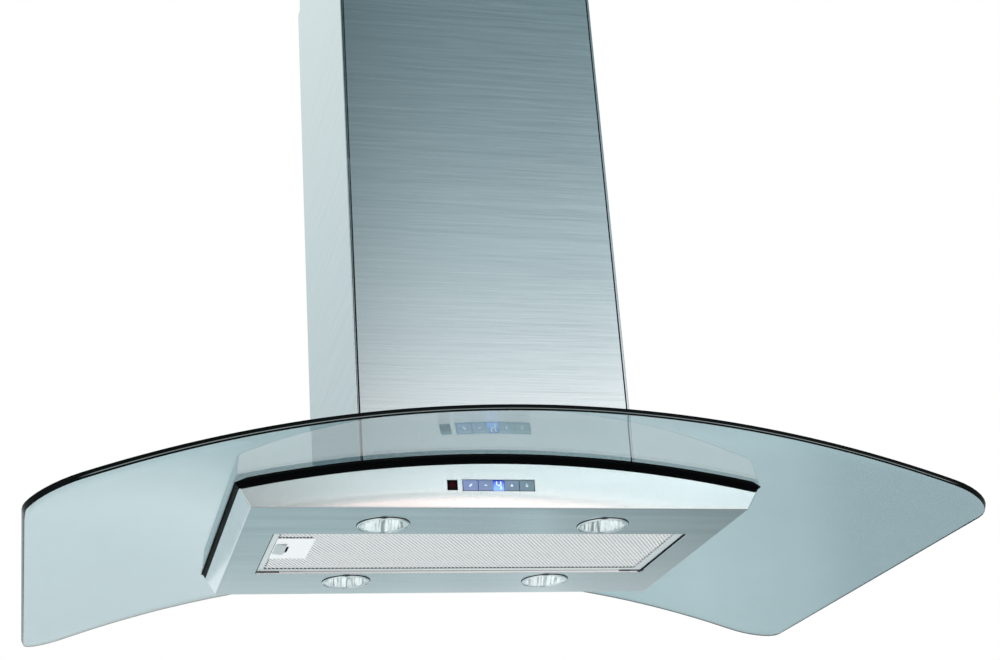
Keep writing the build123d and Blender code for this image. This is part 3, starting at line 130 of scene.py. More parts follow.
class HoodBodySettings(bpy.types.PropertyGroup):
    """Sizes and finish of the flat steel body."""

    width: size("Width", 0.492, "Width of the underside")
    depth: size("Depth", BODY_HIGH.y - BODY_LOW.y, "Depth of the underside")
    flare: size("Flare", (BODY_HIGH.x - BODY_LOW.x - 0.492) / 2, "Lean of each side")
    sheet: size("Sheet", 0.0012, "Thickness of the steel")
    fold_radius: size("Fold radius", 0.0016, "Outside radius of the folds")
    flange: size("Flange", 0.014, "Flange under the gasket")
    gasket: size("Gasket", 0.006, "Room for the gasket under the glass")
    filter_width: size("Filter opening width", 0.428, "Opening in the underside, side to side")
    filter_depth: size("Filter opening depth", 0.154, "Opening in the underside, front to rear")
    lamp_hole: size("Lamp hole radius", 0.0228, "Radius of the holes for the lamps")
    steel_tint: tint("Steel tint", (0.53, 0.605, 0.63), "Colour of the body's steel")
    # The front's colour is painted light: far lighter than the steel, for the bright reflection on the
    # front.
    front_painted_light: tint("Front tint", (1.0, 0.96, 0.945), "Colour of the steel on the body's front")


class HoodCoverSettings(bpy.types.PropertyGroup):
    """Sizes and finish of the two square covers."""

    width: size("Width", COVER_HIGH.x - COVER_LOW.x, "Width of the lower cover")
    depth: size("Depth", COVER_HIGH.y - COVER_LOW.y, "Depth of the lower cover")
    step: size("Step", 0.002, "How far the upper cover stands in on each side")
    sheet: size("Sheet", 0.001, "Thickness of the steel")
    fold_radius: size("Fold radius", 0.0016, "Outside radius of the folds")
    front_return: size("Front return", 0.0025, "Folded front edge of each side")
    slit: size("Slit", 0.0015, "Dark slit on each side of the front panel")
    upper_length: size("Upper length", 0.420, "Length of the upper cover")
    arch_clearance: size("Clearance", 0.0003, "Between the glass and the cover's lower edge")
    steel_tint: tint("Steel tint", (0.56, 0.63, 0.65), "Colour of the covers' steel")


class HoodLampSettings(bpy.types.PropertyGroup):
    """Sizes and finish of the four lamps."""

    bezel_radius: size("Bezel radius", 0.0257, "Outside radius of the chrome ring")
    lens_radius: size("Lens radius", 0.0246, "Radius of the clear lens")
    sleeve_radius: size("Sleeve radius", 0.0223, "Radius of the sleeve behind the ring")
    bowl_height: size("Bowl height", 0.0125, "Height of the reflector")
    flutes: IntProperty(name="Flutes", description="Flutes round the reflector", default=22, min=6, max=60)
    chrome_tint: tint("Chrome tint", (0.84, 0.88, 0.89), "Colour of ring and reflector")


class HoodFilterSettings(bpy.types.PropertyGroup):
    """Sizes and finish of the grease filter."""

    band_left: size("Left band", 0.006, "Width of the frame at the latch")
    band_right: size("Right band", 0.009, "Width of the frame at the hinge")
    band_long: size("Long band", 0.007, "Width of the frame at front and rear")
    hole_pitch: size("Hole pitch", 0.0042, "From hole to hole in a row")
    row_pitch: size("Row pitch", 0.00364, "From row to row")
    hole_radius: size("Hole radius", 0.00132, "Radius of a hole in the outer sheet")
    sheet: size("Sheet", 0.0003, "Thickness of the perforated sheet")
    frame_tint: tint("Frame tint", (0.80, 0.85, 0.86), "Colour of the aluminium frame")
    mesh_tint: tint("Mesh tint", (0.97, 0.985, 0.985), "Colour of the perforated sheet")
    handle_tint: tint("Handle tint", (0.98, 0.99, 0.99), "Colour of the handle plate")
    latch_tint: tint("Latch tint", (0.66, 0.71, 0.72), "Colour of the latch")


class HoodControlSettings(bpy.types.PropertyGroup):
    """Sizes and finish of keys, display and remote control window."""

    edge_round: size("Key edge", 0.0004, "Rounding of a key's edges")
    mark: size("Mark", 0.0032, "Height of the printed marks")
    # The rim is painted near white, a painted highlight on the cut-outs' edges.
    trim: size("Trim", 0.0006, "Bright rim round the cut-outs")
    key_tint: tint("Key tint", (0.40, 0.44, 0.78), "Colour of the keys at their left")
    # The keys' right-hand colour is painted shade and reflection, not a second colour of the keys.
    key_painted_shade: tint("Key shade", (0.28, 0.37, 0.40), "Colour of the keys at their right")
    display_low: tint("Display, lower", (0.20, 0.36, 0.92), "Lower colour of the display")
    display_high: tint("Display, upper", (0.01, 0.02, 0.36), "Upper colour of the display")
    window_glow: tint("Window glow", (0.055, 0.002, 0.004), "Colour in the middle of the window")


class HoodStageSettings(bpy.types.PropertyGroup):
    """Camera and floor."""

    camera_place: FloatVectorProperty(
        name="Camera",
        description="Place of the camera, seen from the middle of the underside",
        default=(-0.437, -1.749, -0.472),
        subtype="TRANSLATION",
        unit="LENGTH",
    )
    yaw: FloatProperty(name="Yaw", description="Turn to the left", default=-0.2719, subtype="ANGLE")
    pitch: FloatProperty(name="Pitch", description="Tilt upwards", default=0.3802, subtype="ANGLE")
    roll: FloatProperty(name="Roll", description="Turn about the view", default=0.0730, subtype="ANGLE")
    lens: FloatProperty(name="Lens", description="Focal length in mm", default=63.94, min=1.0)
    floor_drop: size("Floor drop", 1.55, "From the underside of the body down to the floor")
    floor_tint: tint("Floor tint", (0.86, 0.86, 0.86), "Colour of the floor")


SETTINGS = {
    "hood_canopy": HoodCanopySettings,
    "hood_body": HoodBodySettings,
    "hood_cover": HoodCoverSettings,
    "hood_lamps": HoodLampSettings,
    "hood_filter": HoodFilterSettings,
    "hood_controls": HoodControlSettings,
    "hood_stage": HoodStageSettings,
}


# ------------------------------------------------------------ mesh helpers
def new_piece(name, points, faces, finishes=None):
    """A mesh object from points and faces; finishes is one number per face."""
    mesh = bpy.data.meshes.new(name)
    mesh.from_pydata([tuple(point) for point in points], [], faces)
    if finishes:
        mesh.polygons.foreach_set("material_index", finishes)
    mesh.update()
    piece = bpy.data.objects.new(name, mesh)
    bpy.context.scene.collection.objects.link(piece)
    return piece


def prism(name, outline, way):
    """A solid from a flat outline, carried along a way."""
    count = len(outline)
    points = [Vector(point) for point in outline]
    points += [point + Vector(way) for point in points]
    faces = [tuple(range(count)), tuple(reversed(range(count, 2 * count)))]
    for number in range(count):
        after = (number + 1) % count
        faces.append((number, number + count, after + count, after))
    return new_piece(name, points, faces)


def bar(name, points):
    """A solid along a line of stations with four points each, two on a side."""
    last = len(points) - 4
    faces = [(0, 2, 3, 1), (last, last + 1, last + 3, last + 2)]
    for a in range(0, last, 4):
        b = a + 4
        faces += [(a, a + 1, b + 1, b), (a + 2, b + 2, b + 3, a + 3)]
        faces += [(a, b, b + 2, a + 2), (a + 1, a + 3, b + 3, b + 1)]
    return outwards(new_piece(name, points, faces))


def mitred(name, rings):
    """A closed frame from rings of four corners that follow its profile."""
    points = [corner for ring in rings for corner in ring]
    faces = []
    for number in range(len(rings)):
        this, after = 4 * number, 4 * ((number + 1) % len(rings))
        for side in range(4):
            turn = (side + 1) % 4
            faces.append((this + side, this + turn, after + turn, after + side))
    return outwards(new_piece(name, points, faces))


def rim(cells):
    """The edges that only one of the four-sided cells has, in its direction."""
    ways = {(cell[side], cell[(side + 1) % 4]) for cell in cells for side in range(4)}
    return [(a, b) for a, b in sorted(ways) if (b, a) not in ways]


def bake_modifiers(piece):
    """Turns a piece with its modifiers into a plain mesh."""
    graph = bpy.context.evaluated_depsgraph_get()
    finished = bpy.data.meshes.new_from_object(piece.evaluated_get(graph))
    rough = piece.data
    piece.modifiers.clear()
    piece.data = finished
    bpy.data.meshes.remove(rough)
    return piece


def shade(piece, angle=35.0):
    """Smooth faces that stay sharp where they meet at more than the angle."""
    piece.data.polygons.foreach_set("use_smooth", [True] * len(piece.data.polygons))
    piece.data.set_sharp_from_angle(angle=math.radians(angle))
    piece.modifiers.new("Flat faces", "WEIGHTED_NORMAL").keep_sharp = True
    return bake_modifiers(piece)


def round_edges(piece, width, segments=2, angle=40.0):
    """Rounds the edges that are sharper than the angle."""
    rounding = piece.modifiers.new("Rounded edges", "BEVEL")
    rounding.width = width
    rounding.segments = segments
    rounding.limit_method = "ANGLE"
    rounding.angle_limit = math.radians(angle)
    return bake_modifiers(piece)


def cut(piece, cutter):
    """Cuts the cutter out of the piece and deletes the cutter."""
    cutting = piece.modifiers.new("Cut", "BOOLEAN")
    cutting.object = cutter
    cutting.operation = "DIFFERENCE"
    cutting.solver = "EXACT"
    bake_modifiers(piece)
    mesh = cutter.data
    bpy.data.objects.remove(cutter)
    bpy.data.meshes.remove(mesh)
    return piece


def join(name, pieces):
    """One piece from several that share a finish or list their own."""
    made = bmesh.new()
    materials = []
    for piece in pieces:
        start = len(made.faces)
        made.from_mesh(piece.data)
        made.faces.ensure_lookup_table()
        places = []
        for material in piece.data.materials:
            if material not in materials:
                materials.append(material)
            places.append(materials.index(material))
        for face in made.faces[start:]:
            face.material_index = places[face.material_index] if places else 0
    mesh = bpy.data.meshes.new(name)
    made.to_mesh(mesh)
    made.free()
    for material in materials:
        mesh.materials.append(material)
    for piece in pieces:
        old = piece.data
        bpy.data.objects.remove(piece)
        bpy.data.meshes.remove(old)
    joined = bpy.data.objects.new(name, mesh)
    bpy.context.scene.collection.objects.link(joined)
    return joined


def box(name, low, high):
    """A block between two corners."""
    xs, ys, zs = zip(low, high)
    points = [(x, y, z) for x in xs for y in ys for z in zs]
    faces = [(0, 1, 3, 2), (4, 6, 7, 5), (0, 4, 5, 1), (2, 3, 7, 6), (0, 2, 6, 4), (1, 5, 7, 3)]
    return new_piece(name, points, faces)


def turned(name, profile, centre, steps=64, axis="Z"):
    """A ring or disc turned from a closed profile of radius and height.

    The profile runs so that the solid is on its left, seen with the radius to
    the right and the height upwards. A radius of 0 makes a pole.
    """
    points = []
    rows = []
    for radius, height in profile:
        count = 1 if radius == 0 else steps
        rows.append(range(len(points), len(points) + count))
        for step in range(count):
            angle = 2 * math.pi * step / steps
            across, along = radius * math.cos(angle), radius * math.sin(angle)
            place = (across, along, height) if axis == "Z" else (across, height, -along)
            points.append(Vector(centre) + Vector(place))
    faces = []
    for first, second in zip(rows, rows[1:] + rows[:1]):
        for step in range(steps):
            after = (step + 1) % steps
            corners = [
                first[step % len(first)],
                first[after % len(first)],
                second[after % len(second)],
                second[step % len(second)],
            ]
            kept = [c for i, c in enumerate(corners) if c not in corners[:i]]
            if len(kept) > 2:
                faces.append(kept)
    return new_piece(name, points, faces)


def rounded_line(corners, radius, steps=5, span=0.012):
    """A line in plan through the corners, each rounded off, as place and side.

    The side points to the right of the line's direction.
    """
    line = []
    corners = [Vector(corner) for corner in corners]
    for number, corner in enumerate(corners):
        before = corners[number - 1] if number else None
        after = corners[number + 1] if number + 1 < len(corners) else None
        if before is None or after is None:
            way = (after - corner if before is None else corner - before).normalized()
            line.append((corner, Vector((way.y, -way.x))))
            continue
        way_in = (corner - before).normalized()
        way_out = (after - corner).normalized()
        side_in = Vector((way_in.y, -way_in.x))
        side_out = Vector((way_out.y, -way_out.x))
        turn = way_in.x * way_out.y - way_in.y * way_out.x
        centre = corner - way_in * radius + math.copysign(radius, turn) * -side_in
        for step in range(steps + 1):
            side = side_in.slerp(side_out, step / steps)
            line.append((centre + math.copysign(radius, turn) * side, side))
    filled = [line[0]]
    for place, side in line[1:]:
        last = filled[-1][0]
        parts = max(1, round((place - last).length / span))
        for part in range(1, parts):
            filled.append((last.lerp(place, part / parts), side))
        filled.append((place, side))
    return filled


def folded_sheet(name, corners, thickness, radius, low, high):
    """Upright sheet along a line in plan, its outside to the line's right.

    low and high give the height of its edges for a place in plan.
    """
    line = rounded_line(corners, radius)
    points = []
    for place, side in line:
        inner = place - side * thickness
        for spot in (place, inner):
            points.append((spot.x, spot.y, low(place)))
            points.append((spot.x, spot.y, high(place)))
    return bar(name, points)


def rounded_box(name, low, high, radius):
    """A block between two corners with small rounded edges."""
    return shade(round_edges(box(name, low, high), radius), 30.0)


def outwards(piece):
    """Merges doubles and turns the faces of a closed piece outwards."""
    made = bmesh.new()
    made.from_mesh(piece.data)
    bmesh.ops.remove_doubles(made, verts=made.verts, dist=1e-6)
    bmesh.ops.recalc_face_normals(made, faces=made.faces)
    made.to_mesh(piece.data)
    made.free()
    piece.data.update()
    return piece


def dress(piece, body, slot, *materials, stands_for=()):
    """Gives a piece its body and its materials, or else the finish of its slot."""
    for material in materials or [finish_of(slot)]:
        piece.data.materials.append(material)
    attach(piece, body)
    if stands_for:
        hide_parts(*stands_for)
    return piece


# -------------------------------------------------------- material helpers
def add_node(tree, kind, inputs=None, **options):
    """A node with its options and inputs set; an input may be a socket."""
    made = tree.nodes.new(kind)
    for name, value in options.items():
        setattr(made, name, value)
    for name, value in (inputs or {}).items():
        if isinstance(value, bpy.types.NodeSocket):
            tree.links.new(value, made.inputs[name])
        else:
            made.inputs[name].default_value = value
    return made


def math_node(tree, operation, *values):
    """The result of a Math node."""
    return add_node(tree, "ShaderNodeMath", dict(enumerate(values)), operation=operation).outputs[0]


def finish_of(slot):
    """The material that the CAD nodes of a slot wear."""
    return bpy.data.materials[f"finish_{slot}"]


class Finish:
    """A material with its Principled shader, built up node by node."""

    def __init__(self, name):
        self.material = bpy.data.materials.new(name)
        self.material.use_nodes = True
        self.tree = self.material.node_tree
        self.shader = self.tree.nodes["Principled BSDF"]
        self.place = self.add("ShaderNodeTexCoord").outputs["Object"]

    def add(self, kind, inputs=None, **options):
        """A node of the material's tree."""
        return add_node(self.tree, kind, inputs, **options)

    def math(self, operation, *values):
        """The result of a Math node."""
        return math_node(self.tree, operation, *values)

    def along(self, axis):
        """One part of the object coordinates."""
        return self.add("ShaderNodeSeparateXYZ", {0: self.place}).outputs[axis]

    def feed(self, name, value):
        """Sets or links an input of the shader."""
        if isinstance(value, bpy.types.NodeSocket):
            self.tree.links.new(value, self.shader.inputs[name])
        elif name == "Base Color":
            self.shader.inputs[name].default_value = (*value, 1.0)
        else:
            self.shader.inputs[name].default_value = value

    def stretched(self, scale, turn=(0.0, 0.0, 0.0)):
        """Object coordinates stretched by a scale along each axis."""
        placing = {"Vector": self.place, "Scale": scale, "Rotation": turn}
        return self.add("ShaderNodeMapping", placing).outputs[0]

    def noise(self, scale, detail=2.0):
        """Noise on stretched object coordinates."""
        pattern = {"Vector": self.stretched(scale), "Scale": 1.0, "Detail": detail, "Roughness": 0.6}
        return self.add("ShaderNodeTexNoise", pattern).outputs["Fac"]

    def layered(self, fine_scale, broad_scale):
        """Fine noise, and its sum with a broader one."""
        fine = self.noise(fine_scale, detail=3.0)
        return fine, self.math("ADD", fine, self.noise(broad_scale))

    def between(self, value, low, high, from_low=0.0, from_high=1.0):
        """A value moved to another range."""
        limits = {"From Min": from_low, "From Max": from_high, "To Min": low, "To Max": high}
        return self.add("ShaderNodeMapRange", {"Value": value, **limits}).outputs["Result"]

    def mixed(self, share_of_second, first, second):
        """Two colours mixed by a value."""
        inputs = {0: share_of_second}
        for socket, value in ((6, first), (7, second)):
            inputs[socket] = value if isinstance(value, bpy.types.NodeSocket) else (*value, 1.0)
        return self.add("ShaderNodeMix", inputs, data_type="RGBA").outputs[2]

    def done(self, colour, roughness, metallic=0.0, relief=None, others=None):
        """Feeds the shader; relief is a height and its depth in metres."""
        values = {"Base Color": colour, "Metallic": metallic, "Roughness": roughness}
        for name, value in {**values, **(others or {})}.items():
            self.feed(name, value)
        if relief:
            bump = {"Height": relief[0], "Distance": relief[1], "Strength": 1.0}
            self.feed("Normal", self.add("ShaderNodeBump", bump).outputs["Normal"])
        return self.material


def scaled(colour, factor):
    """A colour made lighter or darker."""
    return tuple(min(1.0, part * factor) for part in colour)


# What keeps black rubber and paint from shining.
MATT = {"Specular IOR Level": 0.03}

# Range of the sum of two noises that the steels' tones and gloss spread over.
STREAK_RANGE = (0.6, 1.4)


def brushed_steel(name, colour, streaks, gloss):
    """Stainless steel with fine streaks along the axes of low scale."""
    finish = Finish(name)
    fine, both = finish.layered(streaks, tuple(part * 0.25 for part in streaks))
    tone = finish.between(both, 0, 1, *STREAK_RANGE)
    base = finish.mixed(tone, scaled(colour, 0.90), scaled(colour, 1.10))
    roughness = finish.between(both, *gloss, *STREAK_RANGE)
    return finish.done(base, roughness, 1.0, (fine, 0.00002))


def body_steel(name, colour, painted_front_light):
    """Brushed steel whose front face is painted much lighter than its steel, a painted highlight for the
    light on that side, and shines softer.
    """
    finish = Finish(name)
    fine, both = finish.layered((16.0, 800.0, 800.0), (3.0, 60.0, 60.0))
    facing = finish.add("ShaderNodeNewGeometry").outputs["Normal"]
    ahead = finish.add("ShaderNodeSeparateXYZ", {0: facing}).outputs["Y"]
    front = finish.between(ahead, 1.0, 0.0, -0.95, -0.75)
    tone = finish.between(both, 0, 1, *STREAK_RANGE)
    base = finish.mixed(tone, scaled(colour, 0.94), scaled(colour, 1.06))
    # Painted highlight: the front face takes the much lighter front colour.
    face = finish.mixed(both, scaled(painted_front_light, 0.92), scaled(painted_front_light, 1.0))
    colour_there = finish.mixed(front, base, face)
    satin = finish.between(both, 0.17, 0.23, *STREAK_RANGE)
    bright = finish.between(both, 0.11, 0.18, *STREAK_RANGE)
    roughness = finish.add("ShaderNodeMix", {0: front, 2: bright, 3: satin}).outputs[0]
    return finish.done(colour_there, roughness, 1.0, (fine, 0.00001))


def plain_metal(name, colour, roughness, grain=900.0, relief=0.00001, spread=0.06, metallic=1.0):
    """Bare or anodised metal with a fine even grain."""
    finish = Finish(name)
    fine = finish.noise((grain, grain, grain), detail=1.0)
    broad = finish.noise((14.0, 14.0, 14.0))
    tone = finish.mixed(broad, scaled(colour, 1 - spread), scaled(colour, 1 + spread))
    gloss = finish.between(broad, roughness * 0.8, roughness * 1.2)
    return finish.done(tone, gloss, metallic, (fine, relief))


def glowing_painted_mirror(name, colour):
    """Reflector with a painted faint glow and painted reflections: its streaks run from white to dark across
    it.
    """
    finish = Finish(name)
    reflection_streaks = finish.noise((420.0, 60.0, 40.0), detail=1.0)
    tone = finish.mixed(finish.between(reflection_streaks, 0, 1, 0.38, 0.52), scaled(colour, 0.15), colour)
    # Painted glow: the reflector emits its own streaked tone.
    glow = {"Emission Color": tone, "Emission Strength": 0.40}
    return finish.done(tone, finish.between(reflection_streaks, 0.10, 0.20), 0.4, others=glow)


def galvanised(name, colour):
    """Zinc coated sheet with faint crystals."""
    finish = Finish(name)
    grains = {"Vector": finish.stretched((90.0, 90.0, 90.0)), "Scale": 1.0}
    crystals = finish.add("ShaderNodeTexVoronoi", grains)
    tone = finish.add("ShaderNodeSeparateColor", {0: crystals.outputs["Color"]}).outputs[0]
    base = finish.mixed(tone, scaled(colour, 0.86), scaled(colour, 1.08))
    roughness = finish.between(tone, 0.34, 0.52)
    return finish.done(base, roughness, 1.0, (finish.noise((300.0, 300.0, 300.0)), 0.00002))


def moulded(name, colour, roughness=0.5, grain=1400.0, relief=0.00003):
    """Moulded plastic, rubber or enamel with a fine grain."""
    finish = Finish(name)
    fine = finish.noise((grain, grain, grain))
    broad = finish.noise((22.0, 22.0, 22.0))
    base = finish.mixed(broad, scaled(colour, 0.85), scaled(colour, 1.15))
    gloss = finish.between(broad, roughness * 0.88, roughness * 1.12)
    return finish.done(base, gloss, 0.0, (fine, relief))


def ribbed_rubber(name, colour):
    """Black gasket with fine slanted ribs."""
    finish = Finish(name)
    slant = finish.stretched((1.0, 1.0, 1.0), (0.0, math.radians(35.0), math.radians(38.0)))
    ribs = finish.add("ShaderNodeTexWave", {"Vector": slant, "Scale": 130.0}).outputs["Fac"]
    base = finish.mixed(ribs, scaled(colour, 0.4), scaled(colour, 1.4))
    roughness = finish.between(ribs, 0.45, 0.60)
    return finish.done(base, roughness, 0.0, (ribs, 0.00008), MATT)


def clear_glass(name, colour):
    """Tinted glass that lets light rays through to what lies behind."""
    finish = Finish(name)
    patchy = finish.noise((30.0, 30.0, 30.0))
    base = finish.mixed(patchy, scaled(colour, 0.97), scaled(colour, 1.03))
    finish.done(base, 0.0, others={"Transmission Weight": 1.0, "IOR": 1.5})
    rays = finish.add("ShaderNodeLightPath").outputs["Is Shadow Ray"]
    colour = (*scaled(colour, 1.0), 1.0)
    open_way = finish.add("ShaderNodeBsdfTransparent", {"Color": colour}).outputs[0]
    ways = {0: rays, 1: finish.shader.outputs[0], 2: open_way}
    either = finish.add("ShaderNodeMixShader", ways).outputs[0]
    output = finish.tree.nodes["Material Output"]
    finish.tree.links.new(either, output.inputs["Surface"])
    return finish.material


def polished_edge(name, colour, roughness=0.12, corner_colour=None, corner_x=1.0):
    """Painted and polished edge of the glass, of another colour in its corners; also makes the grey painted
    reflection line along the edge.
    """
    finish = Finish(name)
    drift = finish.noise((40.0, 40.0, 40.0))
    painted = finish.mixed(drift, scaled(colour, 0.8), scaled(colour, 1.2))
    if corner_colour:
        away = finish.math("ABSOLUTE", finish.along("X"))
        inside = finish.between(away, 0, 1, corner_x - 0.015, corner_x)
        painted = finish.mixed(inside, painted, corner_colour)
    gloss = finish.between(drift, roughness, roughness * 1.6)
    return finish.done(painted, gloss, others=MATT)


def glowing(name, low, high, low_z, high_z, strength):
    """Lit window whose colour runs from a lower to an upper one."""
    finish = Finish(name)
    colour = finish.mixed(finish.between(finish.along("Z"), 0, 1, low_z, high_z), low, high)
    return finish.done(colour, 0.15, others={"Emission Color": colour, "Emission Strength": strength})


# --------------------------------------------------------------- operators
class HOOD_OT_finishes(bpy.types.Operator):
    """Give every CAD node that stays in view the finish of its slot"""

    bl_idname = "hood.finishes"
    bl_label = "Finishes of the inner pieces"

    def execute(self, context):
        scene = context.scene
        body, controls, grille = scene.hood_body, scene.hood_controls, scene.hood_filter
        # Slot: what makes its finish, colour, then as in that function.
        makers = {
            "cover_steel": (brushed_steel, scene.hood_cover.steel_tint, (18.0, 18.0, 900.0), (0.12, 0.20)),
            "body_steel": (body_steel, body.steel_tint, body.front_painted_light),
            "zinc_steel": (galvanised, (0.52, 0.55, 0.56)),
            "fastener_steel": (plain_metal, (0.62, 0.64, 0.65), 0.28),
            "canopy_glass": (clear_glass, scene.hood_canopy.glass_tint),
            "seal_rubber": (ribbed_rubber, (0.003, 0.004, 0.0045)),
            "blower_plastic": (moulded, (0.06, 0.065, 0.07), 0.46),
            "motor_enamel": (moulded, (0.17, 0.18, 0.19), 0.38, 500.0),
            "black_plastic": (moulded, (0.025, 0.026, 0.028), 0.5),
            "capacitor_can": (moulded, (0.76, 0.76, 0.72), 0.3, 300.0),
            "board_green": (moulded, (0.02, 0.16, 0.08), 0.35, 700.0),
            "lamp_chrome": (plain_metal, scene.hood_lamps.chrome_tint, 0.24, 500.0, 0.000002),
            "lamp_glass": (clear_glass, (0.94, 0.97, 0.98)),
            "bulb_glass": (moulded, (0.52, 0.60, 0.61), 0.2, 300.0, 0.00001),
            "key_metal": (moulded, controls.key_tint, 0.3, 900.0, 0.00001),
            "display_blue": (moulded, controls.display_low, 0.2),
            "ir_dark_red": (moulded, controls.window_glow, 0.15),
            "filter_aluminium": (plain_metal, grille.frame_tint, 0.34, 900.0, 0.00001, 0.06, 0.5),
            "handle_aluminium": (plain_metal, grille.handle_tint, 0.32, 900.0, 0.00001, 0.06, 0.4),
        }
        finishes = {slot: maker(f"finish_{slot}", *looks) for slot, (maker, *looks) in makers.items()}
        for row in frame["record"]["subparts"]:
            mesh = frame["nodes"][row["node"]].data
            mesh.materials.clear()
            mesh.materials.append(finishes[row["material_slot"]])
        return {"FINISHED"}


class HOOD_OT_canopy(bpy.types.Operator):
    """Make the bent glass with its polished dark edge"""

    bl_idname = "hood.canopy"
    bl_label = "Glass canopy"

    arch_steps = 56
    corner_steps = 9
    outer_steps = 6
    hole_steps = 8
    lip_thickness = 0.0012
    # Levels of the edge from the upper face down, and the finish of each strip: black painted edge, a grey
    # painted reflection line, black painted edge.
    levels = (0.0, 0.60, 0.72, 1.0)
    finishes_of_levels = (1, 2, 1)

    def columns(self, canopy):
        """Places across the glass, closer together in the corners."""
        straight = canopy.width / 2 - canopy.corner_radius
        inner = [straight * (2 * step / self.arch_steps - 1) for step in range(self.arch_steps + 1)]
        hole = canopy.cutout_width / 2
        inner = sorted([x for x in inner if abs(abs(x) - hole) > 0.004] + [-hole, hole])
        corner = [
            straight + canopy.corner_radius * math.sin(math.pi / 2 * step / self.corner_steps)
            for step in range(1, self.corner_steps + 1)
        ]
        return [-x for x in reversed(corner)] + inner + corner

    def rows(self, canopy, x):
        """Places from front to rear in one column."""
        reach = canopy.depth / 2
        past = abs(x) - (canopy.width / 2 - canopy.corner_radius)
        if past > 0:
            reach -= canopy.corner_radius - math.sqrt(max(0.0, canopy.corner_radius**2 - past**2))
        hole = canopy.cutout_depth / 2
        count = self.outer_steps
        ends = [hole + (reach - hole) * step / count for step in range(count + 1)]
        middle = [hole * (2 * step / self.hole_steps - 1) for step in range(1, self.hole_steps)]
        return [-y for y in reversed(ends)] + middle + ends

    def execute(self, context):
        canopy = context.scene.hood_canopy
        columns = self.columns(canopy)
        axis_z = GLASS_HIGH.z - canopy.arch_radius
        upper, lower, count = [], [], 0
        for x in columns:
            rows = self.rows(canopy, x)
            count = len(rows)
            angle = math.asin(x / canopy.arch_radius)
            for y in rows:
                for side, inset in ((upper, 0.0), (lower, canopy.thickness)):
                    radius = canopy.arch_radius - inset
                    side.append(Vector((radius * math.sin(angle), y, axis_z + radius * math.cos(angle))))
        cells = []
        for column in range(len(columns) - 1):
            x = (columns[column] + columns[column + 1]) / 2
            for row in range(count - 1):
                a = column * count + row
                y = (upper[a].y + upper[a + 1].y) / 2
                if abs(x) > canopy.cutout_width / 2 or abs(y) > canopy.cutout_depth / 2:
                    cells.append((a, a + count, a + count + 1, a + 1))
        total = len(upper)
        points = list(upper)
        for level in self.levels[1:]:
            points += [high.lerp(low, level) for high, low in zip(upper, lower)]
        faces = list(cells) + [tuple(a + 3 * total for a in reversed(cell)) for cell in cells]
        finishes = [0] * len(faces)
        for a, b in rim(cells):
            for level, finish in enumerate(self.finishes_of_levels):
                top, low = level * total, (level + 1) * total
                faces.append((b + top, a + top, a + low, b + low))
                finishes.append(finish)
        piece = new_piece("canopy_glass", points, faces, finishes)
        made = bmesh.new()
        made.from_mesh(piece.data)
        bmesh.ops.delete(made, geom=[v for v in made.verts if not v.link_faces], context="VERTS")
        made.to_mesh(piece.data)
        made.free()
        round_edges(piece, canopy.edge_bevel, angle=50.0)
        shade(piece, 30.0)
        # The painted reflection line ends where the corners begin to turn back.
        reflection_end = columns[-1] - 0.045
        edge = polished_edge("canopy_edge", canopy.edge_tint)
        line = polished_edge("canopy_edge_reflection", canopy.edge_reflection_tint, 0.2, tuple(canopy.edge_tint), reflection_end)
        looks = (finish_of("canopy_glass"), edge, line)
        dress(piece, "hood", "canopy_glass", *looks, stands_for=["glass_canopy"])
        self.lip(canopy, axis_z)
        return {"FINISHED"}

    def lip(self, canopy, axis_z):
        """The gasket's thin black lip under the glass, all round the body; its long reach also stands in for
        the gasket's dark reflection in the glass.
        """
        _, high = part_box("glass_gasket")
        inner_x, inner_y = high.x - 0.0005, high.y - 0.0005
        outer_x, outer_y = high.x + 0.0006, high.y + canopy.gasket_lip_and_reflection
        steps = self.arch_steps
        inner = [inner_x * (2 * step / steps - 1) for step in range(steps + 1)]
        columns = [-outer_x, *inner, outer_x]
        points = []
        for drop in (0.0, self.lip_thickness):
            radius = canopy.arch_radius - canopy.thickness - drop
            for x in columns:
                reach = outer_y if abs(x) < inner_x - 0.001 else high.y + 0.002
                for y in (-reach, -inner_y, inner_y, reach):
                    points.append((x, y, axis_z + math.sqrt(radius**2 - x**2)))
        below = len(columns) * 4
        cells = [
            (4 * column + row, 4 * column + row + 4, 4 * column + row + 5, 4 * column + row + 1)
            for column in range(len(columns) - 1)
            for row in range(3)
            if row != 1 or column in (0, len(columns) - 2)
        ]
        faces = cells + [tuple(corner + below for corner in reversed(cell)) for cell in cells]
        faces += [(b, a, a + below, b + below) for a, b in rim(cells)]
        piece = shade(outwards(new_piece("gasket_lip_and_reflection", points, faces)), 30.0)
        dress(piece, "hood", "seal_rubber")


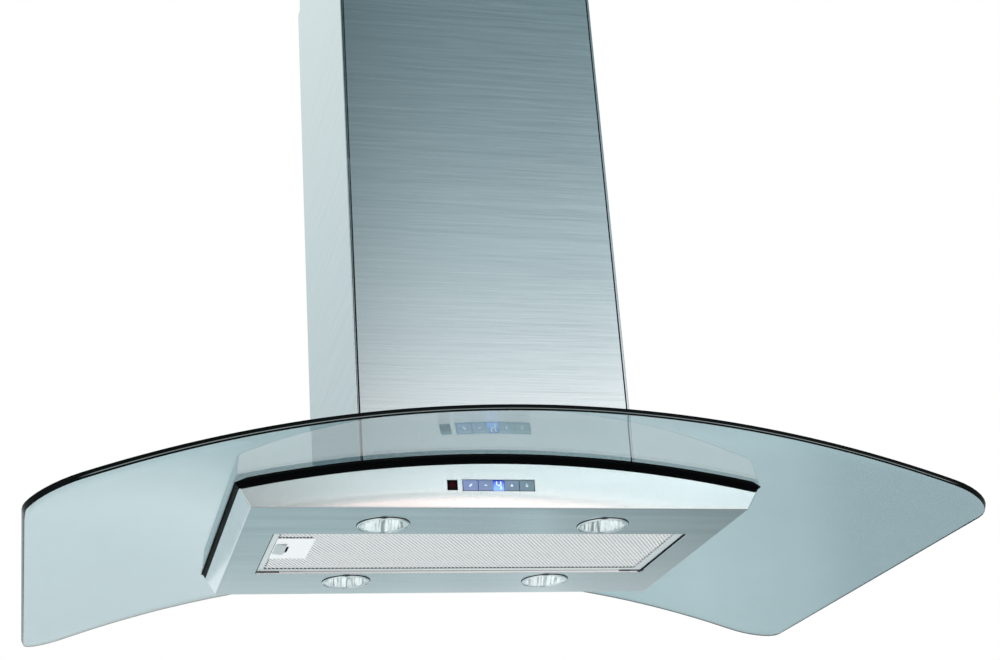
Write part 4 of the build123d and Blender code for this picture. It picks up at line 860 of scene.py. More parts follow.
class HOOD_OT_body(bpy.types.Operator):
    """Make the flat steel body with its folds, openings and flange"""

    bl_idname = "hood.body"
    bl_label = "Steel body"

    arch_steps = 48

    def block(self, context, name, inset):
        """The body's outside, or the room inside it where inset is the sheet."""
        body = context.scene.hood_body
        canopy = context.scene.hood_canopy
        radius = canopy.arch_radius - canopy.thickness - body.gasket - inset
        axis_z = GLASS_HIGH.z - canopy.arch_radius
        corner = body.width / 2 + body.flare
        corner_z = axis_z + math.sqrt((radius + inset) ** 2 - corner**2)
        lean = body.flare / (corner_z - UNDERSIDE)
        side = inset * math.sqrt(1 + lean**2)
        low_x = body.width / 2 + lean * inset - side
        top_x = corner
        # The leaning side meets the arch at a corner that these rounds close in on.
        for _ in range(8):
            top_z = axis_z + math.sqrt(radius**2 - top_x**2)
            top_x = body.width / 2 + lean * (top_z - UNDERSIDE) - side
        outline = [(-low_x, UNDERSIDE + inset), (low_x, UNDERSIDE + inset)]
        for step in range(self.arch_steps + 1):
            x = top_x * (1 - 2 * step / self.arch_steps)
            outline.append((x, axis_z + math.sqrt(radius**2 - x**2)))
        reach = body.depth / 2 - inset
        return prism(name, [(x, -reach, z) for x, z in outline], (0.0, 2 * reach, 0.0))

    def execute(self, context):
        body = context.scene.hood_body
        shell = round_edges(self.block(context, "body_panel", 0.0), body.fold_radius, 3)
        cut(shell, self.block(context, "inside", body.sheet))
        window = (BODY_HIGH.x - body.flange, body.depth / 2 - body.flange)
        opening = (body.filter_width / 2, body.filter_depth / 2)
        for (x, y), low, high in (
            (window, UNDERSIDE + 0.010, GLASS_HIGH.z),
            (opening, UNDERSIDE - 0.01, UNDERSIDE + 0.005),
        ):
            cut(shell, box("window", (-x, -y, low), (x, y, high)))
        for place in LAMP_PLACES.values():
            hole = [(0.0, -0.01), (body.lamp_hole, -0.01), (body.lamp_hole, 0.005), (0.0, 0.005)]
            cut(shell, turned("hole", hole, (place.x, place.y, UNDERSIDE), 48))
        front = -body.depth / 2
        for x0, x1, z0, z1 in panel_openings():
            cut(shell, box("slot", (x0, front - 0.01, z0), (x1, front + 0.0022, z1)))
        sheet = body.sheet
        floor = UNDERSIDE + sheet
        hem_x, hem_top = 0.188, UNDERSIDE + 0.0037
        hems = []
        # The opening's long sides have a hem; a black strip at its left end closes the gap to the filter and
        # stands in for the shadow in that gap.
        for near in (-opening[1] - sheet, opening[1]):
            hems.append(box("hem", (-hem_x, near, floor), (hem_x, near + sheet, hem_top)))
        shell = join("body_panel", [shell, *hems])
        shade(shell)
        dress(shell, "hood", "body_steel", stands_for=["body_shell"])
        # Painted shadow: a black rubber strip put over the gap at the filter's left end.
        shadow_strip_y, shadow_strip_top = 0.0763, UNDERSIDE + 0.0021
        shadow_strip_low = (-opening[0] - 0.002, -shadow_strip_y, floor)
        shadow_strip = box("shadow_gap_strip", shadow_strip_low, (FILTER_LOW.x - 0.0002, shadow_strip_y, shadow_strip_top))
        dress(shadow_strip, "hood", "seal_rubber")
        return {"FINISHED"}


class HOOD_OT_covers(bpy.types.Operator):
    """Make the lower and the upper cover from folded sheet"""

    bl_idname = "hood.covers"
    bl_label = "Square covers"

    def cover(self, cover, name, inset, low, high):
        """Rear and sides in one sheet, and the front panel between them."""
        x = cover.width / 2 - inset
        y = cover.depth / 2 - inset
        inner = x - cover.front_return
        line = [(inner, -y), (x, -y), (x, y), (-x, y), (-x, -y), (-inner, -y)]
        edge = inner - cover.slit
        pieces = []
        for part, corners in (("shell", line), ("front", [(-edge, -y), (edge, -y)])):
            sheet = (cover.sheet, cover.fold_radius)
            pieces.append(shade(folded_sheet(f"{name}_{part}", corners, *sheet, low, high)))
        return pieces

    def execute(self, context):
        cover = context.scene.hood_cover
        canopy = context.scene.hood_canopy
        radius = canopy.arch_radius + cover.arch_clearance
        axis_z = GLASS_HIGH.z - canopy.arch_radius

        def on_glass(place):
            return axis_z + math.sqrt(radius**2 - place.x**2)

        for name, body, inset, low, high in (
            ("lower", "hood", 0.0, on_glass, lambda place: COVER_HIGH.z),
            ("upper", "ceiling", cover.step, lambda place: -cover.upper_length, lambda place: 0.0),
        ):
            pieces = self.cover(cover, f"{name}_cover", inset, low, high)
            for piece, part in zip(pieces, ("shell", "front")):
                dress(piece, body, "cover_steel", stands_for=[f"{name}_chimney_{part}"])
        return {"FINISHED"}


class HOOD_OT_lamps(bpy.types.Operator):
    """Make ring, lens, reflector and bulb of the four lamps"""

    bl_idname = "hood.lamps"
    bl_label = "Lamps"

    # The reflector: rings and sheet, then how far it stands in from the
    # sleeve, narrows on its way up and closes at its top, and its flutes.
    rings = 9
    bowl_sheet = 0.0004
    stand_in, narrowing, closing, flute_depth = 0.0017, 0.0030, 0.0150, 0.0007

    def reflector(self, lamps, name, place):
        """A fluted bowl behind the lens."""
        steps = 2 * lamps.flutes
        points = []
        for ring in range(self.rings):
            rise = ring / (self.rings - 1)
            for step in range(steps):
                flute = self.flute_depth * (1 - rise**2) * (1 if step % 2 else -1)
                radius = lamps.sleeve_radius - self.stand_in - self.narrowing * rise
                radius += flute - self.closing * rise**6
                angle = 2 * math.pi * step / steps
                x = place.x + radius * math.cos(angle)
                y = place.y + radius * math.sin(angle)
                points.append((x, y, UNDERSIDE - 0.0001 + lamps.bowl_height * rise))
        faces = []
        for ring in range(self.rings - 1):
            for step in range(steps):
                a = ring * steps + step
                b = ring * steps + (step + 1) % steps
                faces.append((a, a + steps, b + steps, b))
        piece = new_piece(name, points, faces)
        thick = piece.modifiers.new("Sheet", "SOLIDIFY")
        thick.thickness = self.bowl_sheet
        thick.offset = -1.0
        bake_modifiers(piece)
        piece.data.polygons.foreach_set("use_smooth", [False] * len(piece.data.polygons))
        return piece

    def execute(self, context):
        lamps = context.scene.hood_lamps
        # The reflectors wear the painted glow and painted reflections.
        mirror = glowing_painted_mirror("reflector", (0.97, 0.985, 0.985))
        outer, sleeve, lens = lamps.bezel_radius, lamps.sleeve_radius, lamps.lens_radius
        inner = sleeve - 0.0007
        # A thin black rubber ring round each bezel: painted shadow for the dark line round the ring.
        shadow_ring_in, shadow_ring_out = outer - 0.001, outer + 0.0005
        ring = [
            (inner, 0.0060), (inner, -0.0003), (lens + 0.0001, -0.0003), (lens + 0.0001, -0.0015),
            (lens + 0.0004, -0.0017), (outer - 0.0002, -0.0013), (outer, -0.0010), (outer, 0.0),
            (sleeve, 0.0), (sleeve, 0.0060),
        ]
        disc = [(0.0, -0.0014), (lens - 0.0002, -0.0014), (lens, -0.0012), (lens, -0.0004), (0.0, -0.0004)]
        capsule = [
            (0.0, 0.0072), (0.0022, 0.0075), (0.0038, 0.0087), (0.0044, 0.0105), (0.0044, 0.0138),
            (0.0066, 0.0140), (0.0070, 0.0144), (0.0070, 0.0186), (0.0, 0.0187),
        ]
        shadow_ring_profile = [(shadow_ring_in, 0.0), (shadow_ring_in, -0.0005), (shadow_ring_out, -0.0005), (shadow_ring_out, 0.0)]
        bulbs, shadow_rings = [], []
        for name, spot in LAMP_PLACES.items():
            place = Vector((spot.x, spot.y, UNDERSIDE))
            bezel = shade(outwards(turned(f"bezel_{name}", ring, place, 72)), 40.0)
            dress(bezel, "hood", "lamp_chrome", stands_for=[f"lamp_bezel_{name}"])
            cover = shade(outwards(turned(f"lens_{name}", disc, place, 64)), 40.0)
            dress(cover, "hood", "lamp_glass", stands_for=[f"lamp_lens_{name}"])
            bowl = self.reflector(lamps, f"reflector_{name}", place)
            dress(bowl, "hood", "lamp_chrome", mirror)
            bulbs.append(outwards(turned(f"bulb_{name}", capsule, place, 32)))
            shadow_rings.append(outwards(turned(f"seal_{name}", shadow_ring_profile, place, 72)))
        capsules = shade(join("lamp_capsules", bulbs), 40.0)
        dress(capsules, "hood", "bulb_glass", stands_for=["lamp_bulbs"])
        # The black rings are painted shadow round the bezels.
        dress(shade(join("lamp_shadow_rings", shadow_rings)), "hood", "seal_rubber")
        return {"FINISHED"}


def perforated_tree():
    """Geometry nodes: a sheet of staggered eight-sided holes on brick cells."""
    tree = bpy.data.node_groups.new("Perforated sheet", "GeometryNodeTree")
    tree.is_modifier = True
    kinds = {
        "Int": ("Columns", "Rows"),
        "Float": ("Hole pitch", "Row pitch", "Hole radius", "Thickness"),
        "Vector": ("Middle", "Notch low", "Notch high"),
        "Material": ("Material",),
    }
    sockets = {}
    for kind, names in kinds.items():
        for name in names:
            made = tree.interface.new_socket(name, in_out="INPUT", socket_type=f"NodeSocket{kind}")
            sockets[name] = made.identifier
    tree.interface.new_socket("Geometry", in_out="OUTPUT", socket_type="NodeSocketGeometry")
    given = tree.nodes.new("NodeGroupInput").outputs

    def add(kind, inputs=None, **options):
        return add_node(tree, kind, inputs, **options)

    def made_geometry(kind, inputs, **options):
        return add(f"GeometryNode{kind}", inputs, **options).outputs[0]

    def math_of(operation, first, second=0.0):
        return math_node(tree, operation, first, second)

    def vector_of(operation, first, second=(0.0, 0.0, 0.0)):
        made = add("ShaderNodeVectorMath", {0: first, 1: second}, operation=operation)
        return made.outputs["Value" if operation == "LENGTH" else "Vector"]

    def combined(*parts):
        return add("ShaderNodeCombineXYZ", dict(enumerate(parts))).outputs[0]

    def separated(vector):
        return add("ShaderNodeSeparateXYZ", {0: vector}).outputs

    # Cell: a ring of eight faces between the hole and the brick's outline.
    circle = {"Vertices": 8, "Radius": given["Hole radius"]}
    hole = made_geometry("MeshCircle", circle, fill_type="NONE")
    ring = add("GeometryNodeExtrudeMesh", {"Mesh": hole, "Offset Scale": 0.0}, mode="EDGES").outputs
    position = add("GeometryNodeInputPosition").outputs[0]
    compass = vector_of("FLOOR", vector_of("ADD", vector_of("NORMALIZE", position), (0.5, 0.5, 0.5)))
    half_pitch = math_of("MULTIPLY", given["Hole pitch"], 0.5)
    half = combined(half_pitch, math_of("MULTIPLY", given["Row pitch"], 0.5), 0.0)
    brick = vector_of("MULTIPLY", compass, half)
    outline = {"Geometry": ring[0], "Selection": ring["Top"], "Position": brick}
    cell = made_geometry("SetPosition", outline)
    rising = {"Offset": combined(0.0, 0.0, given["Thickness"]), "Offset Scale": 1.0, "Individual": False}
    raised = add("GeometryNodeExtrudeMesh", {"Mesh": cell, **rising}, mode="FACES").outputs
    across = vector_of("MULTIPLY", position, (1.0, 1.0, 0.0))
    away = vector_of("LENGTH", across)
    past_hole = math_of("MULTIPLY", given["Hole radius"], 1.05)
    outer = math_of("MULTIPLY", raised["Side"], math_of("GREATER_THAN", away, past_hole))
    open_sides = made_geometry("DeleteGeometry", {"Geometry": raised[0], "Selection": outer}, domain="FACE")
    under = made_geometry("FlipFaces", {"Mesh": cell})
    both = add("GeometryNodeJoinGeometry")
    tree.links.new(open_sides, both.inputs[0])
    tree.links.new(under, both.inputs[0])
    welded = made_geometry("MergeByDistance", {"Geometry": both.outputs[0], "Distance": 1e-6})

    # Places: a grid whose every second row is moved by half a pitch.
    span_x = math_of("MULTIPLY", math_of("SUBTRACT", given["Columns"], 1.0), given["Hole pitch"])
    span_y = math_of("MULTIPLY", math_of("SUBTRACT", given["Rows"], 1.0), given["Row pitch"])
    extent = {"Size X": span_x, "Size Y": span_y}
    counts = {"Vertices X": given["Columns"], "Vertices Y": given["Rows"]}
    grid = made_geometry("MeshGrid", {**extent, **counts})
    row = math_of("ROUND", math_of("DIVIDE", separated(position)[1], given["Row pitch"]))
    odd = math_of("FLOORED_MODULO", row, 2.0)
    half_way = math_of("SUBTRACT", odd, 0.5)
    quarter = math_of("MULTIPLY", half_way, math_of("MULTIPLY", given["Hole pitch"], 0.5))
    moved = vector_of("ADD", given["Middle"], combined(quarter, 0.0, 0.0))
    places = made_geometry("SetPosition", {"Geometry": grid, "Offset": moved})
    here, notch_low, notch_high = (
        separated(source) for source in (position, given["Notch low"], given["Notch high"])
    )
    within = []
    for axis in (0, 1):
        past_low = math_of("GREATER_THAN", here[axis], notch_low[axis])
        short_of_high = math_of("LESS_THAN", here[axis], notch_high[axis])
        within.append(math_of("MULTIPLY", past_low, short_of_high))
    inside = math_of("MULTIPLY", *within)
    kept = made_geometry("DeleteGeometry", {"Geometry": places, "Selection": inside}, domain="POINT")
    copies = made_geometry("InstanceOnPoints", {"Points": kept, "Instance": welded})
    real = made_geometry("RealizeInstances", {"Geometry": copies})
    painted = made_geometry("SetMaterial", {"Geometry": real, "Material": given["Material"]})
    tree.links.new(painted, tree.nodes.new("NodeGroupOutput").inputs[0])
    return tree, sockets


def perforated_sheet(tree, sockets, name, values):
    """A plain mesh of the perforated sheet with the given inputs."""
    piece = new_piece(name, [], [])
    holes = piece.modifiers.new("Holes", "NODES")
    holes.node_group = tree
    for key, value in values.items():
        holes[sockets[key]] = value
    bake_modifiers(piece)
    return piece


class HOOD_OT_filter(bpy.types.Operator):
    """Make the grease filter: frame, perforated sheets, handle and latch"""

    bl_idname = "hood.filter"
    bl_label = "Grease filter"

    pin = 0.0043

    def frame_loop(self, grille, name, profile):
        """A mitred rectangular frame; the profile is share of the band and rise."""
        low, high = Vector(FILTER_LOW), Vector(FILTER_HIGH)
        low.y, high.y = low.y + self.pin, high.y - self.pin
        rings = []
        for part, rise in profile:
            x0, x1 = low.x + part * grille.band_left, high.x - part * grille.band_right
            y0, y1 = low.y + part * grille.band_long, high.y - part * grille.band_long
            z = UNDERSIDE + rise
            rings.append([(x0, y0, z), (x1, y0, z), (x1, y1, z), (x0, y1, z)])
        return mitred(name, rings)

    def execute(self, context):
        grille = context.scene.hood_filter
        profile = [
            (0.0, 0.0115), (0.0, 0.0028), (0.04, 0.0025),
            (0.96, 0.0025), (1.0, 0.0028), (1.0, 0.0115),
        ]
        rail = self.frame_loop(grille, "filter_rail", profile)
        slot_low = (FILTER_LOW.x - 0.001, TAB_LOW.y + 0.0088, UNDERSIDE + 0.0036)
        slot_high = (FILTER_LOW.x + grille.band_left + 0.001, TAB_HIGH.y - 0.0088, UNDERSIDE + 0.0058)
        cut(rail, box("tongue_slot", slot_low, slot_high))
        pins = []
        hinge = (0.208, 0.0, UNDERSIDE + 0.007)
        for side in (-1, 1):
            inner, outer = side * (FILTER_HIGH.y - self.pin - 0.001), side * FILTER_HIGH.y
            ends = [(0.0, inner), (0.002, inner), (0.002, outer), (0.0, outer)]
            pins.append(outwards(turned("pin", ends, hinge, 24, axis="Y")))
        rail = shade(join("filter_rail", [rail, *pins]), 30.0)
        dress(rail, "filter", "filter_aluminium", stands_for=["filter_frame"])

        tree, sockets = perforated_tree()
        mesh_x = (FILTER_LOW.x + grille.band_left, FILTER_HIGH.x - grille.band_right)
        mesh_y = FILTER_HIGH.y - self.pin - grille.band_long
        mesh_tint = grille.mesh_tint
        bright = plain_metal("filter_sheet", mesh_tint, 0.40, 1200.0, 0.00001, 0.015, 0.1)
        # The inner layers are painted nearly black: painted shade inside the filter behind the holes.
        painted_shade_finish = plain_metal("filter_layer_painted_shade", scaled(mesh_tint, 0.06), 0.45, metallic=0.6)
        outer = None
        sheets = ((0.0033, 1.0, bright), (0.0068, 2.0, painted_shade_finish), (0.0103, 2.0, painted_shade_finish))
        for number, (rise, widen, paint) in enumerate(sheets):
            pitch, row = grille.hole_pitch * widen, grille.row_pitch * widen
            columns = int((mesh_x[1] - mesh_x[0] - 0.0004 - pitch / 2) / pitch)
            rows = int((2 * mesh_y - 0.0004) / row)
            first = number == 0
            notch_low = (mesh_x[0] - 0.01, TAB_LOW.y + 0.007, 0.0)
            notch_high = (TAB_HIGH.x + 0.0055, TAB_HIGH.y - 0.007, 0.0)
            values = {
                "Columns": columns,
                "Rows": rows,
                "Hole pitch": pitch,
                "Row pitch": row,
                "Hole radius": grille.hole_radius * widen * (1.0 if first else 1.08),
                "Thickness": grille.sheet,
                "Middle": (sum(mesh_x) / 2, 0.0, UNDERSIDE + rise),
                "Notch low": notch_low if first else (0.0, 0.0, 0.0),
                "Notch high": notch_high if first else (0.0, 0.0, 0.0),
                "Material": paint,
            }
            sheet = perforated_sheet(tree, sockets, f"filter_sheet_{number + 1}", values)
            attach(sheet, "filter")
            outer = outer or sheet
        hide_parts("filter_mesh")

        # Painted shadow: dark plates along the handle's near edge and along the sheet's rear edge.
        near, rear = HANDLE_LOW.y, mesh_y
        slots = self.slots(HANDLE_LOW.x + 0.001, HANDLE_HIGH.x, near - 0.0040, near - 0.0003, 0.0034, 0.0022)
        slots += self.slots(
            mesh_x[0] + 0.001, mesh_x[1] - 0.001, rear - 0.0038, rear - 0.0002, grille.hole_pitch, 0.0027
        )
        dress(join("filter_shadow_slots", slots), "filter", "filter_aluminium", painted_shade_finish)

        satin = plain_metal("handle_plate", grille.handle_tint, 0.36, 1500.0, 0.000005, 0.01, 0.1)
        dress(self.handle(), "filter", "handle_aluminium", satin, stands_for=["filter_handle"])
        grey = plain_metal("latch_tab", grille.latch_tint, 0.30, 1500.0, 0.000005, 0.04, 0.6)
        dress(self.latch(), "latch", "handle_aluminium", grey, stands_for=["filter_latch"])
        return {"FINISHED"}

    def slots(self, x0, x1, y0, y1, pitch, width):
        """A row of dark slot-shaped plates just under the outer sheet: painted shadow lines drawn as plates.
        """
        low, high = UNDERSIDE + 0.0030, UNDERSIDE + 0.0033
        count = int((x1 - x0) / pitch)
        starts = [x0 + number * pitch for number in range(count)]
        return [box("slot", (start, y0, low), (start + width, y1, high)) for start in starts]

    def handle(self):
        """The pale plate round the latch, with a window for its neck."""
        plate = round_edges(box("handle_plate", HANDLE_LOW, HANDLE_HIGH), 0.00025)
        middle = (TAB_LOW.y + TAB_HIGH.y) / 2
        window_low = (-0.2040, middle - 0.0080, HANDLE_LOW.z - 0.001)
        window_high = (-0.1908, middle + 0.0140, HANDLE_HIGH.z + 0.001)
        return shade(cut(plate, box("window", window_low, window_high)), 30.0)

    def latch(self):
        """The folded pull tab, its neck and the tongue behind the hem."""
        low, high = TAB_LOW, TAB_HIGH
        section = (
            (-0.2050, 0.0020), (-0.2038, 0.0019), (-0.2020, 0.0017), (-0.2000, 0.0014),
            (-0.1980, 0.0011), (-0.1960, 0.0009), (-0.1945, 0.0011), (-0.1938, 0.0016),
        )
        thickness = 0.0006
        points = []
        for x, rise in section:
            z = UNDERSIDE + rise
            for y in (low.y + 0.0035, high.y - 0.0035):
                points += [(x, y, z), (x, y, z + thickness)]
        tab = round_edges(bar("tab", points), 0.0002, 2, 60.0)
        middle = (low.y + high.y) / 2
        end_x, fold_z = -0.199, UNDERSIDE + 0.0038
        tongue = box("tongue", (low.x, middle - 0.012, fold_z), (end_x, middle + 0.012, high.z))
        neck_low, neck_high = (-0.2035, middle - 0.007, UNDERSIDE + 0.0019), (end_x, middle + 0.007, fold_z)
        neck = box("neck", neck_low, neck_high)
        return shade(join("filter_latch_tab", [tab, tongue, neck]), 30.0)


class HOOD_OT_controls(bpy.types.Operator):
    """Make the keys with their marks, the display and the remote window"""

    bl_idname = "hood.controls"
    bl_label = "Keys and display"

    def flat_mark(self, name, outline, x, z, y, scale):
        """A printed mark: a thin plate whose outline is in units of the mark."""
        points = [(x + a * scale, y, z + b * scale) for a, b in outline]
        return outwards(prism(name, points, (0.0, MARK_THICKNESS, 0.0)))

    def key_mark(self, kind, x, z, y, scale):
        """The generic mark of a key."""
        shapes = {
            "light": [
                [(0.45, 0.50), (0.10, 0.40), (-0.45, -0.20), (-0.40, -0.50), (-0.05, -0.40), (0.50, 0.15)],
            ],
            "slower": [[(-0.40, 0.12), (-0.40, -0.12), (0.40, -0.12), (0.40, 0.12)]],
            "faster": [[(-0.45, -0.30), (0.45, -0.30), (0.0, 0.45)]],
            "power": [
                [(-0.10, 0.60), (-0.10, 0.05), (0.10, 0.05), (0.10, 0.60)],
                [(-0.45, 0.15), (-0.30, -0.32), (0.0, -0.48), (0.30, -0.32), (0.45, 0.15), (0.28, 0.10),
                 (0.18, -0.18), (0.0, -0.28), (-0.18, -0.18), (-0.28, 0.10)],
            ],
        }
        return [self.flat_mark("mark", outline, x, z, y, scale) for outline in shapes[kind]]

    def digit(self, x, z, y, height):
        """A lit figure four of the seven-segment kind."""
        wide, thick = height * 0.5, height * 0.13
        bars = (
            (-wide / 2 + thick * 0.7, wide / 2 - thick * 0.7, -thick / 2, thick / 2),
            (-wide / 2 - thick / 2, -wide / 2 + thick / 2, thick * 0.3, height / 2),
            (wide / 2 - thick / 2, wide / 2 + thick / 2, thick * 0.3, height / 2),
            (wide / 2 - thick / 2, wide / 2 + thick / 2, -height / 2, -thick * 0.3),
        )
        outlines = [[(x0, z1), (x0, z0), (x1, z0), (x1, z1)] for x0, x1, z0, z1 in bars]
        return [self.flat_mark("segment", outline, x, z, y, 1.0) for outline in outlines]

    def execute(self, context):
        controls = context.scene.hood_controls
        display_low, display_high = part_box("display_window")
        z_middle = (display_low.z + display_high.z) / 2
        white = moulded("mark_white", (0.80, 0.86, 0.98), 0.4, 900.0, 0.0)
        # The white glows faintly: the display's figure is lit, on the keys' printed marks the glow is
        # painted light.
        lit = white.node_tree.nodes["Principled BSDF"].inputs
        lit["Emission Color"].default_value = (0.80, 0.88, 1.0, 1.0)
        lit["Emission Strength"].default_value = 0.5
        satin = self.key_finish(controls)
        for kind in KEY_NAMES:
            low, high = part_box(f"button_{kind}")
            cap_low = (low.x + 0.0001, low.y, display_low.z)
            cap_high = (high.x - 0.0001, low.y + 0.0035, display_high.z)
            cap = round_edges(box("cap", cap_low, cap_high), controls.edge_round, 3)
            flange_y = low.y + 0.0036
            flange = box("flange", (low.x, low.y + 0.0021, low.z), (high.x, flange_y, high.z))
            stem = [(0.0, flange_y), (0.0015, flange_y), (0.0015, high.y), (0.0, high.y)]
            middle = (low.x + high.x) / 2
            post = outwards(turned("stem", stem, (middle, 0.0, z_middle), 24, axis="Y"))
            body_of_key = shade(join("key", [cap, flange, post]), 30.0)
            body_of_key.data.materials.append(satin)
            marks = self.key_mark(kind, middle, z_middle, low.y - MARK_STAND, controls.mark)
            for mark in marks:
                mark.data.materials.append(white)
            key = join(f"key_{kind}_cap", [body_of_key, *marks])
            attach(key, f"key_{kind}")
            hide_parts(f"button_{kind}")
        self.display(controls, display_low, display_high, white)
        self.window(controls)
        self.trim(context, controls)
        return {"FINISHED"}

    def key_finish(self, controls):
        """Satin lacquer whose colour drifts from silver blue to grey along the row: the keys' own blue, with
        painted shade and reflection towards the right.
        """
        finish = Finish("key_satin")
        drift = finish.between(finish.along("X"), 0.0, 1.0, *KEYS_X)
        fine = finish.noise((2400.0, 2400.0, 60.0), detail=1.0)
        base = finish.mixed(drift, controls.key_tint, controls.key_painted_shade)
        return finish.done(base, finish.between(fine, 0.26, 0.38), 0.55, (fine, 0.000004))

    def display(self, controls, low, high, white):
        """The lit display with its figure."""
        colours = (controls.display_low, controls.display_high)
        blue = glowing("display_glow", *colours, low.z + 0.003, high.z, 0.75)
        window = rounded_box("window", low, high, 0.0003)
        window.data.materials.append(blue)
        middle = (low + high) / 2
        figure = self.digit(middle.x, middle.z, low.y - MARK_STAND, 0.0082)
        for bar in figure:
            bar.data.materials.append(white)
        display = join("display_panel", [window, *figure])
        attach(display, "hood")
        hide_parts("display_window")

    def window(self, controls):
        """The dark window whose middle glows red."""
        low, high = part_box("ir_window")
        finish = Finish("remote_glow")
        place = finish.place
        for operation, value in (("SUBTRACT", (low + high) / 2), ("MULTIPLY", (1.0, 0.0, 1.0))):
            inputs = {0: place, 1: value}
            place = finish.add("ShaderNodeVectorMath", inputs, operation=operation).outputs[0]
        far = finish.add("ShaderNodeVectorMath", {0: place}, operation="LENGTH").outputs["Value"]
        glow = finish.between(far, 1.0, 0.0, 0.0005, 0.0042)
        base = finish.mixed(glow, (0.002, 0.001, 0.001), controls.window_glow)
        paint = finish.done(base, 0.3, others={"Specular IOR Level": 0.05})
        piece = rounded_box("remote_window", low, high, 0.0003)
        dress(piece, "hood", "ir_dark_red", paint, stands_for=["ir_window"])

    def trim(self, context, controls):
        """Thin rims round the two cut-outs, painted near white: a painted highlight on the cut-outs' edges.
        """
        face = -context.scene.hood_body.depth / 2
        wide = controls.trim
        profile = [(0.0, 0.0), (0.0, -0.00025), (wide * 0.4, -0.0004), (wide, -0.00015), (wide, 0.0)]
        rims = []
        for x0, x1, z0, z1 in panel_openings():
            rings = []
            for out, depth in profile:
                left, right, foot, top = x0 - out, x1 + out, z0 - out, z1 + out
                corners = ((left, foot), (right, foot), (right, top), (left, top))
                rings.append([(x, face + depth, z) for x, z in corners])
            rims.append(mitred("rim", rings))
        # Painted highlight: near white, lighter than the steel round it.
        bright = plain_metal("rim_painted_highlight", (0.95, 0.97, 0.97), 0.30, metallic=0.3)
        dress(shade(join("panel_rims", rims), 50.0), "hood", "body_steel", bright)


